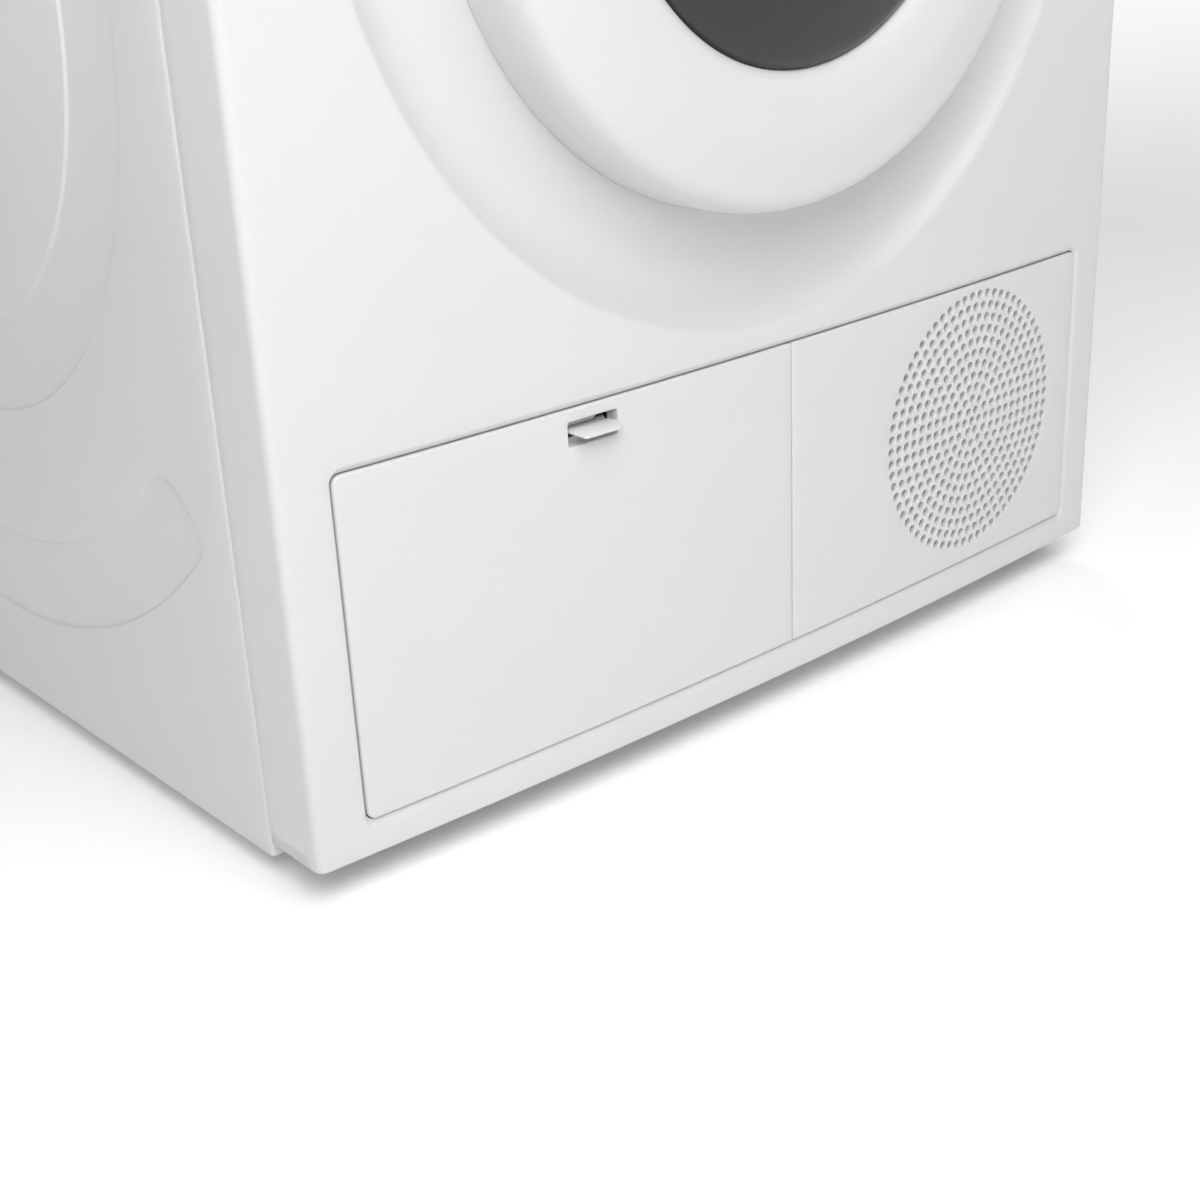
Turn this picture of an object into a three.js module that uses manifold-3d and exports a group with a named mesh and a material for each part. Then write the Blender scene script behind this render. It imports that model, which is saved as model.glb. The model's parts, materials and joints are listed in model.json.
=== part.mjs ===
// Freestanding condenser tumble dryer, millimetres.
// X to the right seen from the front, the front faces -Y, Z up, z = 0 on the floor.
import * as THREE from 'three';
import { mergeVertices } from 'three/addons/utils/BufferGeometryUtils.js';
import Module from 'manifold-3d';

const wasm = await Module();
wasm.setup();

// ---- driving dimensions -------------------------------------------------
const WIDTH = 598;
const HEIGHT = 845;
const HALF = WIDTH / 2;
const FRONT = -288;            // frontmost line of the bowed front, at x = 0
const BOW = 9.3;               // how far the front falls back at its corners
const CORNER_R = 5;            // vertical corner of the front sheet
const SHEET = 2.5;             // wall of the pressed steel panels
const SEAM = FRONT + BOW + 42; // where the front sheet meets the side panels
const REAR = 298;              // rear edge of the side panels
const GAP = 0.3;               // play between touching pieces

const FRONT_BOTTOM = 20;
const SIDE_BOTTOM = 11.4;
const FASCIA_BOTTOM = 722;
const CABINET_TOP = 805;

const DOOR_Z = 470;            // centre of the door and of its dish
const DISH_R = 248;
const DISH_DEPTH = 15;
const DISH_FLOOR = FRONT + DISH_DEPTH;
const APERTURE_R = 174;
const DOOR_R = 190;
const DOOR_FRONT = FRONT - 25;
const WINDOW_R = 122;
const HINGE_X = 196;
const HINGE_Y = -292;

const PLINTH_X = 273.6;        // recess round flap and grille, half width
const PLINTH_Z = [34.5, 211.3];
const PLINTH_STEP = 1.5;       // depth of the recess
const PLINTH_EDGE = 3.2;       // width of its bevel
const FLAP_X = [-270, 10.5];
const GRILLE_X = [11.1, 270];
const FLAP_Z = [38, 207.8];
const FLAP_WALL = 4;
const PIVOT_Y = -272;          // flap hinge
const PIVOT_Z = 60;

const POCKET_X = -127;         // pocket with the flap's latch lever
const POCKET_Z = 195.5;
const POCKET = [30, 12.5];
const LEVER_Y = -277;          // pivot of the lever
const LEVER_SLOPE = 5;         // degrees that its tongue falls towards the tip

const VENT_X = 168.9;          // centre of the round field of holes
const VENT_Z = 125.9;

const DRUM_Z = 484;
const DRUM_R = 278;
const DRUM_Y = [-240, 232];
const BELT_Y = [-40, -28];
const COLLAR_R = 262;
const ROLLER_R = 32;
const ROLLER_ANGLE = 36;       // either side of the lowest point of the drum

const TENSION = [53.4, 120];    // tension pulley on the belt's slack run
const ARM_PIVOT = [40, 60];
const MOTOR_X = 150;
const MOTOR_Z = 98;
const PULLEY_R = 12;

const frontY = (x) => FRONT + BOW * (x / HALF) ** 2;
const rad = THREE.MathUtils.degToRad;

// ---- solids -------------------------------------------------------------
function solid(geometry) {
  const bare = geometry.clone();
  for (const key of ['normal', 'uv']) bare.deleteAttribute(key);
  const merged = mergeVertices(bare, 1e-4);
  const vertProperties = new Float32Array(merged.attributes.position.array);
  const triVerts = new Uint32Array(merged.index.array);
  return new wasm.Manifold(new wasm.Mesh({ numProp: 3, vertProperties, triVerts }));
}

function box(x0, x1, y0, y1, z0, z1) {
  const g = new THREE.BoxGeometry(x1 - x0, y1 - y0, z1 - z0);
  return solid(g.translate((x0 + x1) / 2, (y0 + y1) / 2, (z0 + z1) / 2));
}

function extrude(points, depth) {
  const shape = new THREE.Shape(points.map(([x, y]) => new THREE.Vector2(x, y)));
  return new THREE.ExtrudeGeometry(shape, { depth, bevelEnabled: false });
}

// plan outline, extruded upwards
const prismZ = (points, z0, z1) => solid(extrude(points, z1 - z0).translate(0, 0, z0));

// front view outline (x, z), extruded from y0 back to y1
function prismY(points, y0, y1) {
  const g = extrude(points, y1 - y0);
  return solid(g.rotateX(Math.PI / 2).translate(0, y1, 0));
}

// side view outline (y, z), extruded from x0 to x1
function prismX(points, x0, x1) {
  const g = extrude(points, x1 - x0);
  return solid(g.rotateZ(Math.PI / 2).rotateY(Math.PI / 2).translate(x0, 0, 0));
}

// turned about the line x, z parallel to Y; profile of (radius, y), walked either way round
function turned(x, z, profile, segments = 48) {
  const pts = profile.map(([r, y]) => new THREE.Vector2(r, y));
  if (THREE.ShapeUtils.area(pts) < 0) pts.reverse();
  if (profile.every(([r]) => r > 0)) pts.push(pts[0].clone());
  return solid(new THREE.LatheGeometry(pts, segments)).translate([x, 0, z]);
}

const disc = (x, z, r, y0, y1, n = 48) => turned(x, z, [[0, y0], [r, y0], [r, y1], [0, y1]], n);

const ring = (x, z, r0, r1, y0, y1, n = 48) =>
  turned(x, z, [[r0, y0], [r1, y0], [r1, y1], [r0, y1]], n);

function roundRect(x0, x1, z0, z1, r, steps = 4) {
  const corners = [
    [x1 - r, z1 - r, 0], [x0 + r, z1 - r, 90], [x0 + r, z0 + r, 180], [x1 - r, z0 + r, 270],
  ];
  return corners.flatMap(([cx, cz, from]) => arc(cx, cz, r, from, from + 90, steps));
}

function arc(cx, cy, r, from, to, steps) {
  return Array.from({ length: steps + 1 }, (_, i) => {
    const a = rad(from + ((to - from) * i) / steps);
    return [cx + r * Math.cos(a), cy + r * Math.sin(a)];
  });
}

function sum(...bodies) {
  return bodies.reduce((a, b) => a.add(b));
}

function cut(body, ...tools) {
  return tools.reduce((a, b) => a.subtract(b), body);
}

// ---- the bowed front ----------------------------------------------------
// points of the front surface from x0 to x1, moved back by inset
function bowLine(x0, x1, inset, steps) {
  return Array.from({ length: steps + 1 }, (_, i) => {
    const x = x0 + ((x1 - x0) * i) / steps;
    return [x, frontY(x) + inset];
  });
}

// plan of the front with both corners, walked from the left seam to the right one
function wrapLine(inset, back, steps = 12) {
  const x = HALF - inset;
  const r = CORNER_R;
  const cy = frontY(HALF - r) + inset + r;
  return [
    [-x, back],
    ...arc(-x + r, cy, r, 180, 270, 3).slice(0, -1),
    ...bowLine(-x + r, x - r, inset, steps),
    ...arc(x - r, cy, r, 270, 360, 3).slice(1),
    [x, back],
  ];
}

const wrapSheet = (inset, wall, back, z0, z1) =>
  prismZ([...wrapLine(inset, back), ...wrapLine(inset + wall, back).reverse()], z0, z1);

// everything behind the front surface moved back by inset
const behindFront = (inset, back, z0, z1) => prismZ(wrapLine(inset, back), z0, z1);

// plate that follows the bow
const bowPlate = (x0, x1, inset, wall, z0, z1, steps = 8) =>
  prismZ([...bowLine(x0, x1, inset, steps), ...bowLine(x0, x1, inset + wall, steps).reverse()], z0, z1);

// ---- cabinet ------------------------------------------------------------
function frontPanel() {
  const top = FASCIA_BOTTOM - GAP;
  const sheet = wrapSheet(0, SHEET, SEAM - GAP, FRONT_BOTTOM, top);
  const dish = (grow) => turned(0, DOOR_Z, [
    [0, FRONT - 20], [DISH_R + 6 + grow, FRONT - 20], [DISH_R - 2 + grow, FRONT + 9],
    [DISH_R - 26 + grow, DISH_FLOOR + grow], [0, DISH_FLOOR + grow],
  ], 48);
  const filled = sheet.add(dish(SHEET).intersect(behindFront(0, SEAM - GAP, FRONT_BOTTOM, top)));
  const [z0, z1] = PLINTH_Z;
  const e = PLINTH_EDGE;
  const mid = PLINTH_X - e / 2;
  const bevel = bowPlate(-mid, mid, -5, 5 + PLINTH_STEP, z0 + e / 2, z1 - e / 2);
  const hole = box(-PLINTH_X + e, PLINTH_X - e, FRONT - 9, SEAM, z0 + e, z1 - e);
  const latchSlot = box(-200, -177, DISH_FLOOR - 1, DISH_FLOOR + 9, DOOR_Z - 9, DOOR_Z + 9);
  return cut(filled, dish(0), disc(0, DOOR_Z, APERTURE_R, FRONT, SEAM, 48), bevel, hole, latchSlot);
}

function sidePanel(side) {
  const outline = roundRect(SEAM, REAR, SIDE_BOTTOM, CABINET_TOP, 4, 2);
  const plate = prismX(outline, HALF - 3, HALF);
  const cy = (SEAM + REAR) / 2 - 5;
  const cz = (SIDE_BOTTOM + CABINET_TOP) / 2;
  const depth = 1.6;
  const groove = (points) => prismX(points, HALF - depth, HALF + 1);
  const sector = (from, to) => groove([...arc(cy, cz, 340, from, to, 14), ...arc(cy, cz, 293, to, from, 14)]);
  const circle = (r) => groove(arc(cy, cz, r, 0, 360, 36).slice(1));
  const pressed = cut(plate, sector(46, 134), sector(226, 314), circle(221).subtract(circle(174)));
  return side > 0 ? pressed : pressed.mirror([1, 0, 0]);
}

function rearPanel() {
  const plate = box(-HALF + 3.5, HALF - 3.5, REAR - 6, REAR - 3, SIDE_BOTTOM + 3, CABINET_TOP - 2);
  const slots = [];
  for (let i = 0; i < 7; i += 1) {
    const z = 60 + i * 16;
    slots.push(box(90, 230, REAR - 8, REAR, z, z + 7));
  }
  const duct = disc(0, DRUM_Z, 150, REAR - 8, REAR, 40);
  const inlet = disc(235, 745, 11, REAR - 8, REAR, 24);
  return cut(plate, ...slots, duct, inlet);
}

function rearDuctCover() {
  const y = REAR - 3 + GAP;
  const wall = 2.5;
  const round = (grow, y0, y1) => prismY([
    ...arc(0, DRUM_Z, 172 - grow, -40, 220, 30),
    [-172 * Math.cos(rad(40)) + grow, 150 + grow],
    [172 * Math.cos(rad(40)) - grow, 150 + grow],
  ], y0, y1);
  const flange = round(-9, y, y + 2);
  return sum(flange, round(0, y, HALF + 21)).subtract(round(wall, y - 1, HALF + 21 - wall));
}

function worktop() {
  const plan = roundRect(-HALF, HALF, FRONT + 1, REAR + 4, 7, 4);
  const inner = roundRect(-HALF + 14, HALF - 14, FRONT + 22, REAR - 10, 4, 2);
  const z = CABINET_TOP + GAP;
  const top = prismZ(roundRect(-HALF + 2, HALF - 2, FRONT + 3, REAR + 2, 6, 4), HEIGHT - 3, HEIGHT);
  return sum(prismZ(plan, z, HEIGHT - 3), top).subtract(prismZ(inner, z - 1, z + 15));
}

// ---- base ---------------------------------------------------------------
const FEET = [[-262, -232], [262, -232], [-262, 262], [262, 262]];
const BASE_Y = [-250, 286];
const BAY_X = [-250, -20];      // exchanger bay
const BAY_Z = [24, 178];
const BAY_OPEN_Y = 90;          // the bay has no roof behind this line

function baseTray() {
  const [y0, y1] = BASE_Y;
  const block = box(-284, 284, y0, y1, 14, 186);
  const bay = box(BAY_X[0], BAY_X[1], y0 - 1, y1 - 8, BAY_Z[0], BAY_Z[1]);
  const top = box(BAY_X[0] + 12, BAY_X[1] - 12, BAY_OPEN_Y, y1 - 8, 100, 190);
  const machine = box(BAY_X[1] + 8, 276, y0 + 6, y1 - 8, 20, 190);
  const intake = prismY(arc(VENT_X, VENT_Z - 8, 62, 0, 360, 32).slice(1), y0 - 1, y0 + 7);
  const leftRail = box(-277, -264, y0 - 1, y1 - 8, 40, 190);
  const beltSlot = box(-80, 0, BELT_Y[0] - 6, BELT_Y[1] + 6, 164, 190);
  const sockets = FEET.map(([x, y]) => prismZ(arc(x, y, 5.4, 0, 360, 16).slice(1), 13, 19));
  const bosses = FEET.map(([x, y]) => prismZ(arc(x, y, 11, 0, 360, 16).slice(1), 16, 36));
  const bores = FEET.map(([x, y]) => prismZ(arc(x, y, 5.4, 0, 360, 16).slice(1), 13, 33));
  const open = cut(block, bay, top, machine, intake, leftRail, beltSlot, ...sockets);
  return cut(sum(open, armPost(), ...bosses), ...bores);
}

function levellingFoot([x, y]) {
  const pad = prismZ(arc(x, y, 19, 0, 360, 24).slice(1), 0, 6);
  const nut = prismZ(arc(x, y, 9, 0, 360, 6).slice(1), 5.9, 11);
  return sum(pad, nut, prismZ(arc(x, y, 5, 0, 360, 16).slice(1), 10.9, 30));
}

// ---- plinth: frame, flap, lever, grille ---------------------------------
function plinthFrame() {
  const plate = box(-282, 282, -268, -258, 23, 218);
  const left = box(-270.8, 10.9, -268.4, -257, 33, 208.9);
  const right = box(18, 262, -268.4, -257, 40, 200);
  const earLeft = box(-282, -270.8, -276.5, -267.9, 50, 70);
  const earRight = box(11.2, 18, -277.5, -267.9, 50, 70);
  const pins = prismX(arc(PIVOT_Y, PIVOT_Z, 3, 0, 360, 16).slice(1), -283, 19);
  const catchNotch = box(POCKET_X - 9, POCKET_X + 9, -268.4, -257, 200, 210.5);
  return cut(sum(plate, earLeft, earRight), left, right, pins, catchNotch);
}

function serviceFlap() {
  const [x0, x1] = FLAP_X;
  const [z0, z1] = FLAP_Z;
  const face = bowPlate(x0, x1, PLINTH_STEP, FLAP_WALL, z0 + 2, z1);
  const sill = bowPlate(x0, x1, PLINTH_STEP + 2, FLAP_WALL - 2, z0, z0 + 2.1);
  const behind = bowPlate(x0, x1, PLINTH_STEP + 1, 40, z0, z1);
  const lug = (x) => prismX([
    ...arc(PIVOT_Y, PIVOT_Z, 6, -90, 90, 8), [FRONT, PIVOT_Z + 6], [FRONT, PIVOT_Z - 6],
  ], x, x + 6);
  const pin = (xa, xb) => prismX(arc(PIVOT_Y, PIVOT_Z, 2.6, 0, 360, 16).slice(1), xa, xb);
  const ribs = [-200, -60].map((x) => box(x, x + 3, FRONT, -274, 76, 186));
  const [x, z] = [POCKET_X, POCKET_Z];
  const [w, h] = [POCKET[0] / 2, POCKET[1] / 2];
  const bay = box(x - 20, x + 20, FRONT, -273, z - 10.7, z + 10.3);
  const bayHole = box(x - 17.5, x + 17.5, -290, -272, z - 8.2, z + 8.2);
  const pocket = roundRect(x - w, x + w, z - h, z + h, 1.5, 2);
  const backs = sum(lug(-267.5), lug(4), ...ribs).intersect(behind);
  const body = sum(face, sill, backs, pin(-280, -267), pin(9, 17.5));
  const housing = cut(bay.intersect(behind), bayHole);
  const trunnion = prismX(arc(LEVER_Y, z, 2.1, 0, 360, 12).slice(1), x - 21, x + 21);
  return cut(sum(cut(body, prismY(pocket, -292, -270)), housing), trunnion);
}

function latchLever() {
  const w = 13;
  const z = POCKET_Z;
  const plan = (y0, y1, c) => [
    [POCKET_X - w, y1], [POCKET_X - w, y0 + c], [POCKET_X - w + c, y0],
    [POCKET_X + w - c, y0], [POCKET_X + w, y0 + c], [POCKET_X + w, y1],
  ];
  const tongue = prismZ(plan(-294, -276, 4), -1.1, 1.1).rotate([LEVER_SLOPE, 0, 0]);
  const a = rad(LEVER_SLOPE);
  const placed = tongue.translate([0, LEVER_Y * (1 - Math.cos(a)), z - LEVER_Y * Math.sin(a)]);
  const rod = prismX(arc(LEVER_Y, z, 1.8, 0, 360, 12).slice(1), POCKET_X - 19.5, POCKET_X + 19.5);
  const arm = box(POCKET_X - 6, POCKET_X + 6, -277, -261, z - 1.1, z + 1.1);
  const nib = box(POCKET_X - 6, POCKET_X + 6, -264, -261, z - 1.1, z + 6.5);
  return sum(placed, rod, arm, nib);
}

function ventGrille() {
  const [x0, x1] = GRILLE_X;
  const [z0, z1] = FLAP_Z;
  const face = bowPlate(x0, x1, PLINTH_STEP, FLAP_WALL, z0, z1);
  const holes = [prismY(arc(VENT_X, VENT_Z, 11, 0, 360, 8).slice(1), FRONT - 5, -268)];
  for (let k = 1; k <= 2; k += 1) {
    for (let i = 0; i < 6 * k; i += 1) {
      const a = (Math.PI * i) / (3 * k);
      const c = [VENT_X + 32 * k * Math.cos(a), VENT_Z + 32 * k * Math.sin(a)];
      holes.push(prismY(arc(c[0], c[1], 11, 0, 360, 6).slice(1), FRONT - 5, -268));
    }
  }
  const corners = [[22, 52], [22, 196], [256, 52], [256, 196]];
  const posts = corners.map(([x, z]) => box(x - 3, x + 3, -283, -268.3, z - 3, z + 3));
  return sum(cut(face, ...holes), ...posts);
}

// ---- control fascia -----------------------------------------------------
const TANK_X = [-285, -128];
const TANK_Z = [736, 796];
const DIAL_X = 0;
const DIAL_Z = 764;
const WINDOW = [66, 176, 746, 782];
const KEYS = { power_key: [-86, 764, 10], start_key: [256, 764, 12], option_key: [208, 764, 8] };
const PLAY = 0.6;               // round the keys and the tank's front

function controlFascia() {
  const shell = wrapSheet(0, 3.2, SEAM - GAP, FASCIA_BOTTOM, CABINET_TOP);
  const [x0, x1, z0, z1] = [...TANK_X, ...TANK_Z];
  const tank = box(x0 - PLAY, x1 + PLAY, FRONT - 9, SEAM - 20, z0 - PLAY, z1 + PLAY);
  const dial = disc(DIAL_X, DIAL_Z, 7, FRONT - 9, SEAM, 24);
  const display = prismY(roundRect(...WINDOW, 3, 2), FRONT - 9, SEAM);
  const keys = Object.values(KEYS).map(([x, z, r]) => disc(x, z, r + PLAY, FRONT - 9, SEAM, 28));
  return cut(shell, tank, dial, display, ...keys);
}

function programDial() {
  const y = FRONT - GAP;
  const knob = turned(DIAL_X, DIAL_Z, [
    [0, y - 22], [21, y - 22], [23, y - 20], [25, y - 4], [28, y - 1.5], [28, y], [0, y],
  ], 48);
  const shaft = disc(DIAL_X, DIAL_Z, 5, y - 1, FRONT + 24, 20);
  const mark = box(DIAL_X - 1, DIAL_X + 1, y - 25, y - 21, DIAL_Z + 8, DIAL_Z + 19);
  return cut(sum(knob, shaft), mark);
}

function displayWindow() {
  const [x0, x1, z0, z1] = WINDOW;
  const plate = bowPlate(x0 + GAP, x1 - GAP, 0.4, 5, z0 + GAP, z1 - GAP, 6);
  return plate.intersect(prismY(roundRect(x0 + GAP, x1 - GAP, z0 + GAP, z1 - GAP, 3, 2), FRONT - 9, -270));
}

function roundKey([x, z, r]) {
  const y = frontY(x);
  return turned(x, z, [
    [0, y - 1.6], [r - 1.2, y - 1.6], [r, y - 0.4], [r, y + 6],
    [r + 1.5, y + 6], [r + 1.5, y + 7.5], [0, y + 7.5],
  ], 28);
}

function controlBoard() {
  const board = box(-104, 272, -264, -262, 740, 790);
  const chips = [-70, 40, 120, 190].map((x) => box(x, x + 26, -262.1, -254, 750, 776));
  return cut(sum(board, ...chips), disc(DIAL_X, DIAL_Z, 8, -266, -261, 16));
}

function condensateTank() {
  const [x0, x1] = TANK_X;
  const outer = box(x0 + 2, x1 - 2, -262, 170, TANK_Z[0] + 2, TANK_Z[1] - 3);
  const inner = box(x0 + 5, x1 - 5, -259, 167, TANK_Z[0] + 5, TANK_Z[1]);
  return outer.subtract(inner);
}

function tankFront() {
  const [x0, x1] = TANK_X;
  const [z0, z1] = TANK_Z;
  const block = behindFront(0, -262.3, z0, z1).intersect(box(x0, x1, FRONT - 1, 0, z0, z1));
  const pull = box(x0 + 40, x1 - 30, -300, -270, z0 + 4, z0 + 26);
  return block.subtract(pull);
}

// ---- door ---------------------------------------------------------------
function doorRing() {
  const f = DOOR_FRONT;
  const b = DISH_FLOOR - GAP;
  const outer = [[DOOR_R, b], [DOOR_R, f + 12], [DOOR_R - 7, f + 3], [150, f]];
  const inner = [[150, f + 4], [DOOR_R - 10, f + 7], [DOOR_R - 4, f + 14], [DOOR_R - 4, b]];
  const lip = [[WINDOW_R, f + 5], [WINDOW_R, f + 10]];
  const shell = turned(0, DOOR_Z, [...outer, ...lip, ...inner], 40);
  return shell.subtract(box(176, 192, HINGE_Y - 8, HINGE_Y + 13, DOOR_Z - 15.5, DOOR_Z + 15.5));
}

function doorWindow() {
  const f = DOOR_FRONT;
  const r = WINDOW_R - GAP;
  return turned(0, DOOR_Z, [
    [0, f - 7], [60, f - 4.5], [r, f + 5], [r, f + 10], [60, f - 0.5], [0, f - 3],
  ], 40);
}

function doorInnerFrame() {
  return turned(0, DOOR_Z, [
    [124, -281], [DOOR_R - 4.4, -281], [DOOR_R - 4.4, -277.3], [166, -277.3], [166, -255], [160.5, -255],
    [160.5, -277.3], [124, -277.3],
  ], 40);
}

function doorBowl() {
  return turned(0, DOOR_Z, [
    [0, -241], [80, -244], [125, -256], [148, -272], [160, -274], [160, -277], [145, -277], [121, -260.5],
    [78, -249], [0, -246],
  ], 40);
}

const doorSeal = () => ring(0, DOOR_Z, 176.5, 184, -277, DISH_FLOOR - GAP, 40);

function doorHinge() {
  const ear = (z) => prismZ([
    ...arc(HINGE_X, HINGE_Y, 5.5, 180, 360, 10), [HINGE_X + 5.5, DISH_FLOOR - GAP - 3],
    [HINGE_X - 5.5, DISH_FLOOR - GAP - 3],
  ], z, z + 12);
  const y = DISH_FLOOR - GAP;
  const plate = box(HINGE_X - 5.4, HINGE_X + 22, y - 3.1, y, DOOR_Z - 34, DOOR_Z + 34);
  const pin = prismZ(arc(HINGE_X, HINGE_Y, 3.1, 0, 360, 16).slice(1), DOOR_Z - 40, DOOR_Z + 40);
  return cut(sum(plate, ear(DOOR_Z - 28), ear(DOOR_Z + 16)), pin);
}

function doorHingeArm() {
  const arm = prismZ([
    ...arc(HINGE_X, HINGE_Y, 5.5, -90, 90, 10),
    [150, HINGE_Y + 5.5], [150, HINGE_Y + 1.5], [180, HINGE_Y - 5.5],
  ], DOOR_Z - 15, DOOR_Z + 15);
  return arm.subtract(prismZ(arc(HINGE_X, HINGE_Y, 3.15, 0, 360, 16).slice(1), DOOR_Z - 20, DOOR_Z + 20));
}

const doorHingePin = () =>
  prismZ(arc(HINGE_X, HINGE_Y, 2.8, 0, 360, 16).slice(1), DOOR_Z - 30, DOOR_Z + 30);

function doorLock() {
  const body = box(-212, -179, DISH_FLOOR + SHEET + GAP, -254.6, DOOR_Z - 20, DOOR_Z + 20);
  return body.subtract(box(-198, -170, -275, -262, DOOR_Z - 8, DOOR_Z + 8));
}

// ---- drum and its supports ----------------------------------------------
function frontBulkhead() {
  const plate = box(-276, 276, -254, -250, 200, 730);
  const collar = ring(0, DRUM_Z, COLLAR_R - 4, COLLAR_R, -250.1, -205, 52);
  const funnel = disc(0, DOOR_Z, APERTURE_R + 2, -256, -249, 48);
  const slot = box(-82, 82, -256, -249, 236, 320);
  return cut(sum(plate, collar), funnel, slot);
}

// stays inside the flats of the turning drum's many-sided wall
const feltSeal = () => ring(0, DRUM_Z, COLLAR_R + GAP, DRUM_R - 3.2, -234, -220, 52);

function lintFilter() {
  const body = box(-80, 80, -266, -242, 240, 294);
  const hollow = box(-77, 77, -263, -245, 243, 295);
  const grip = box(-20, 20, -264, -244, 288, 293.9);
  return sum(body.subtract(hollow), grip.intersect(box(-20, 20, -263.2, -244.8, 290, 293.9)));
}

function drumShell() {
  const [y0, y1] = DRUM_Y;
  const r = DRUM_R;
  return ring(0, DRUM_Z, r - 2, r, y0, y1, 52);
}

function drumRearWall() {
  const r = DRUM_R - 2 - GAP;
  const wall = turned(0, DRUM_Z, [
    [0, 212], [210, 212], [220, 222], [r, 222], [r, 226], [218, 226], [208, 216], [0, 216],
  ], 52);
  const holes = [];
  for (let i = 0; i < 8; i += 1) {
    const a = (Math.PI * i) / 4;
    holes.push(disc(140 * Math.cos(a), DRUM_Z + 140 * Math.sin(a), 30, 205, 230, 8));
  }
  return cut(wall, ...holes);
}

function drumLifter(index) {
  const r = DRUM_R - 5.2;
  const profile = [
    ...arc(0, 0, r, -8, 8, 6), [r - 34, 12], ...arc(r - 44, 0, 12, 60, -60, 5), [r - 34, -12],
  ];
  const turn = -(120 * index + 90);
  return prismY(profile, -190, 205).rotate([0, turn, 0]).translate([0, 0, DRUM_Z]);
}

function drumShaft() {
  return turned(0, DRUM_Z, [[0, 216.3], [50, 216.3], [50, 222], [12, 222], [12, 286], [0, 286]], 32);
}

function rearBearing() {
  const [r0, r1] = [12.1, 30];
  const hub = ring(0, DRUM_Z, r0, r1, 250, REAR - 8, 32);
  const strap = box(-160, 160, 274, REAR - 8, DRUM_Z - 14, DRUM_Z + 14);
  return sum(hub, cut(strap, disc(0, DRUM_Z, r0, 200, 300, 32)));
}

function rollerPlace(side) {
  const reach = DRUM_R + ROLLER_R + 0.4;
  return [side * reach * Math.sin(rad(ROLLER_ANGLE)), DRUM_Z - reach * Math.cos(rad(ROLLER_ANGLE))];
}

const supportRoller = (side) => ring(...rollerPlace(side), 6.1, ROLLER_R, -215, -193, 36);

const rollerAxle = (side) =>
  turned(...rollerPlace(side), [[0, -249.7], [14, -249.7], [14, -246], [6, -244], [6, -190], [0, -190]], 20);

// tangent-wrapped outline round two circles: the drum and the motor pulley
function beltOutline(grow) {
  const [x2, z2, r1, r2] = [MOTOR_X, MOTOR_Z, DRUM_R + grow, PULLEY_R + grow];
  const [dx, dz] = [x2, z2 - DRUM_Z];
  const base = THREE.MathUtils.radToDeg(Math.atan2(dz, dx));
  const spread = THREE.MathUtils.radToDeg(Math.acos((r1 - r2) / Math.hypot(dx, dz)));
  return [
    ...arc(0, DRUM_Z, r1, base + spread, base - spread + 360, 60),
    ...arc(x2, z2, r2, base - spread, base + spread, 10),
  ];
}

function driveBelt() {
  const [y0, y1] = BELT_Y;
  return prismY(beltOutline(2.6), y0, y1).subtract(prismY(beltOutline(0.4), y0 - 1, y1 + 1));
}

// ---- machine bay --------------------------------------------------------
function motor() {
  const can = ring(MOTOR_X, MOTOR_Z, 36, 52, 4, 132, 32);
  const cap = ring(MOTOR_X, MOTOR_Z, 10.1, 40, 128, 140, 24);
  const foot = box(MOTOR_X - 40, MOTOR_X + 40, 20, 116, 20.3, 60);
  return sum(can, cap, cut(foot, disc(MOTOR_X, MOTOR_Z, 45, 0, 150, 36)));
}

function motorShaft() {
  const p = PULLEY_R;
  return turned(MOTOR_X, MOTOR_Z, [
    [0, -190], [8, -190], [8, -46], [p + 3, -46], [p + 3, -43], [p, -42],
    [p, -26], [p + 3, -25], [p + 3, -22],
    [10, -22], [10, 150], [0, 150],
  ], 28);
}

function fanWheel() {
  const hub = ring(MOTOR_X, MOTOR_Z, 8.3, 14, -150, -120, 20);
  const back = ring(MOTOR_X, MOTOR_Z, 13.9, 58, -124, -120, 24);
  const front = ring(MOTOR_X, MOTOR_Z, 44, 58, -186, -183, 24);
  const blades = [];
  for (let i = 0; i < 10; i += 1) {
    const blade = box(45, 56.5, -183.1, -123.9, -0.9, 0.9).rotate([0, 36 * i, 0]);
    blades.push(blade.translate([MOTOR_X, 0, MOTOR_Z]));
  }
  return sum(hub, back, front, ...blades);
}

function fanHousing() {
  const block = box(MOTOR_X - 72, MOTOR_X + 72, -196, -106, 24, 176);
  const chamber = disc(MOTOR_X, MOTOR_Z, 66, -193, -110, 40);
  const inlet = disc(MOTOR_X, MOTOR_Z, 42, -200, -190, 36);
  const shaftHole = disc(MOTOR_X, MOTOR_Z, 9.5, -120, -100, 20);
  const outlet = box(MOTOR_X - 66, MOTOR_X - 20, -193, -110, MOTOR_Z, 180);
  return cut(block, chamber, inlet, shaftHole, outlet);
}

// arm on the base tray's post that holds a small pulley against the belt's slack run
function tensionArm() {
  const [x, z] = TENSION;
  const [px, pz] = ARM_PIVOT;
  const plate = prismY([...arc(px, pz, 9, 180, 360, 8), ...arc(x, z, 9, 0, 180, 8)], -56, -52);
  const stub = disc(x, z, 4, -52.1, BELT_Y[1], 16);
  return cut(sum(plate, stub), disc(px, pz, 4.3, -60, -50, 16));
}

const tensionPulley = () => ring(...TENSION, 4.3, 12, BELT_Y[0] - 2, BELT_Y[1] - 1, 24);

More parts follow.
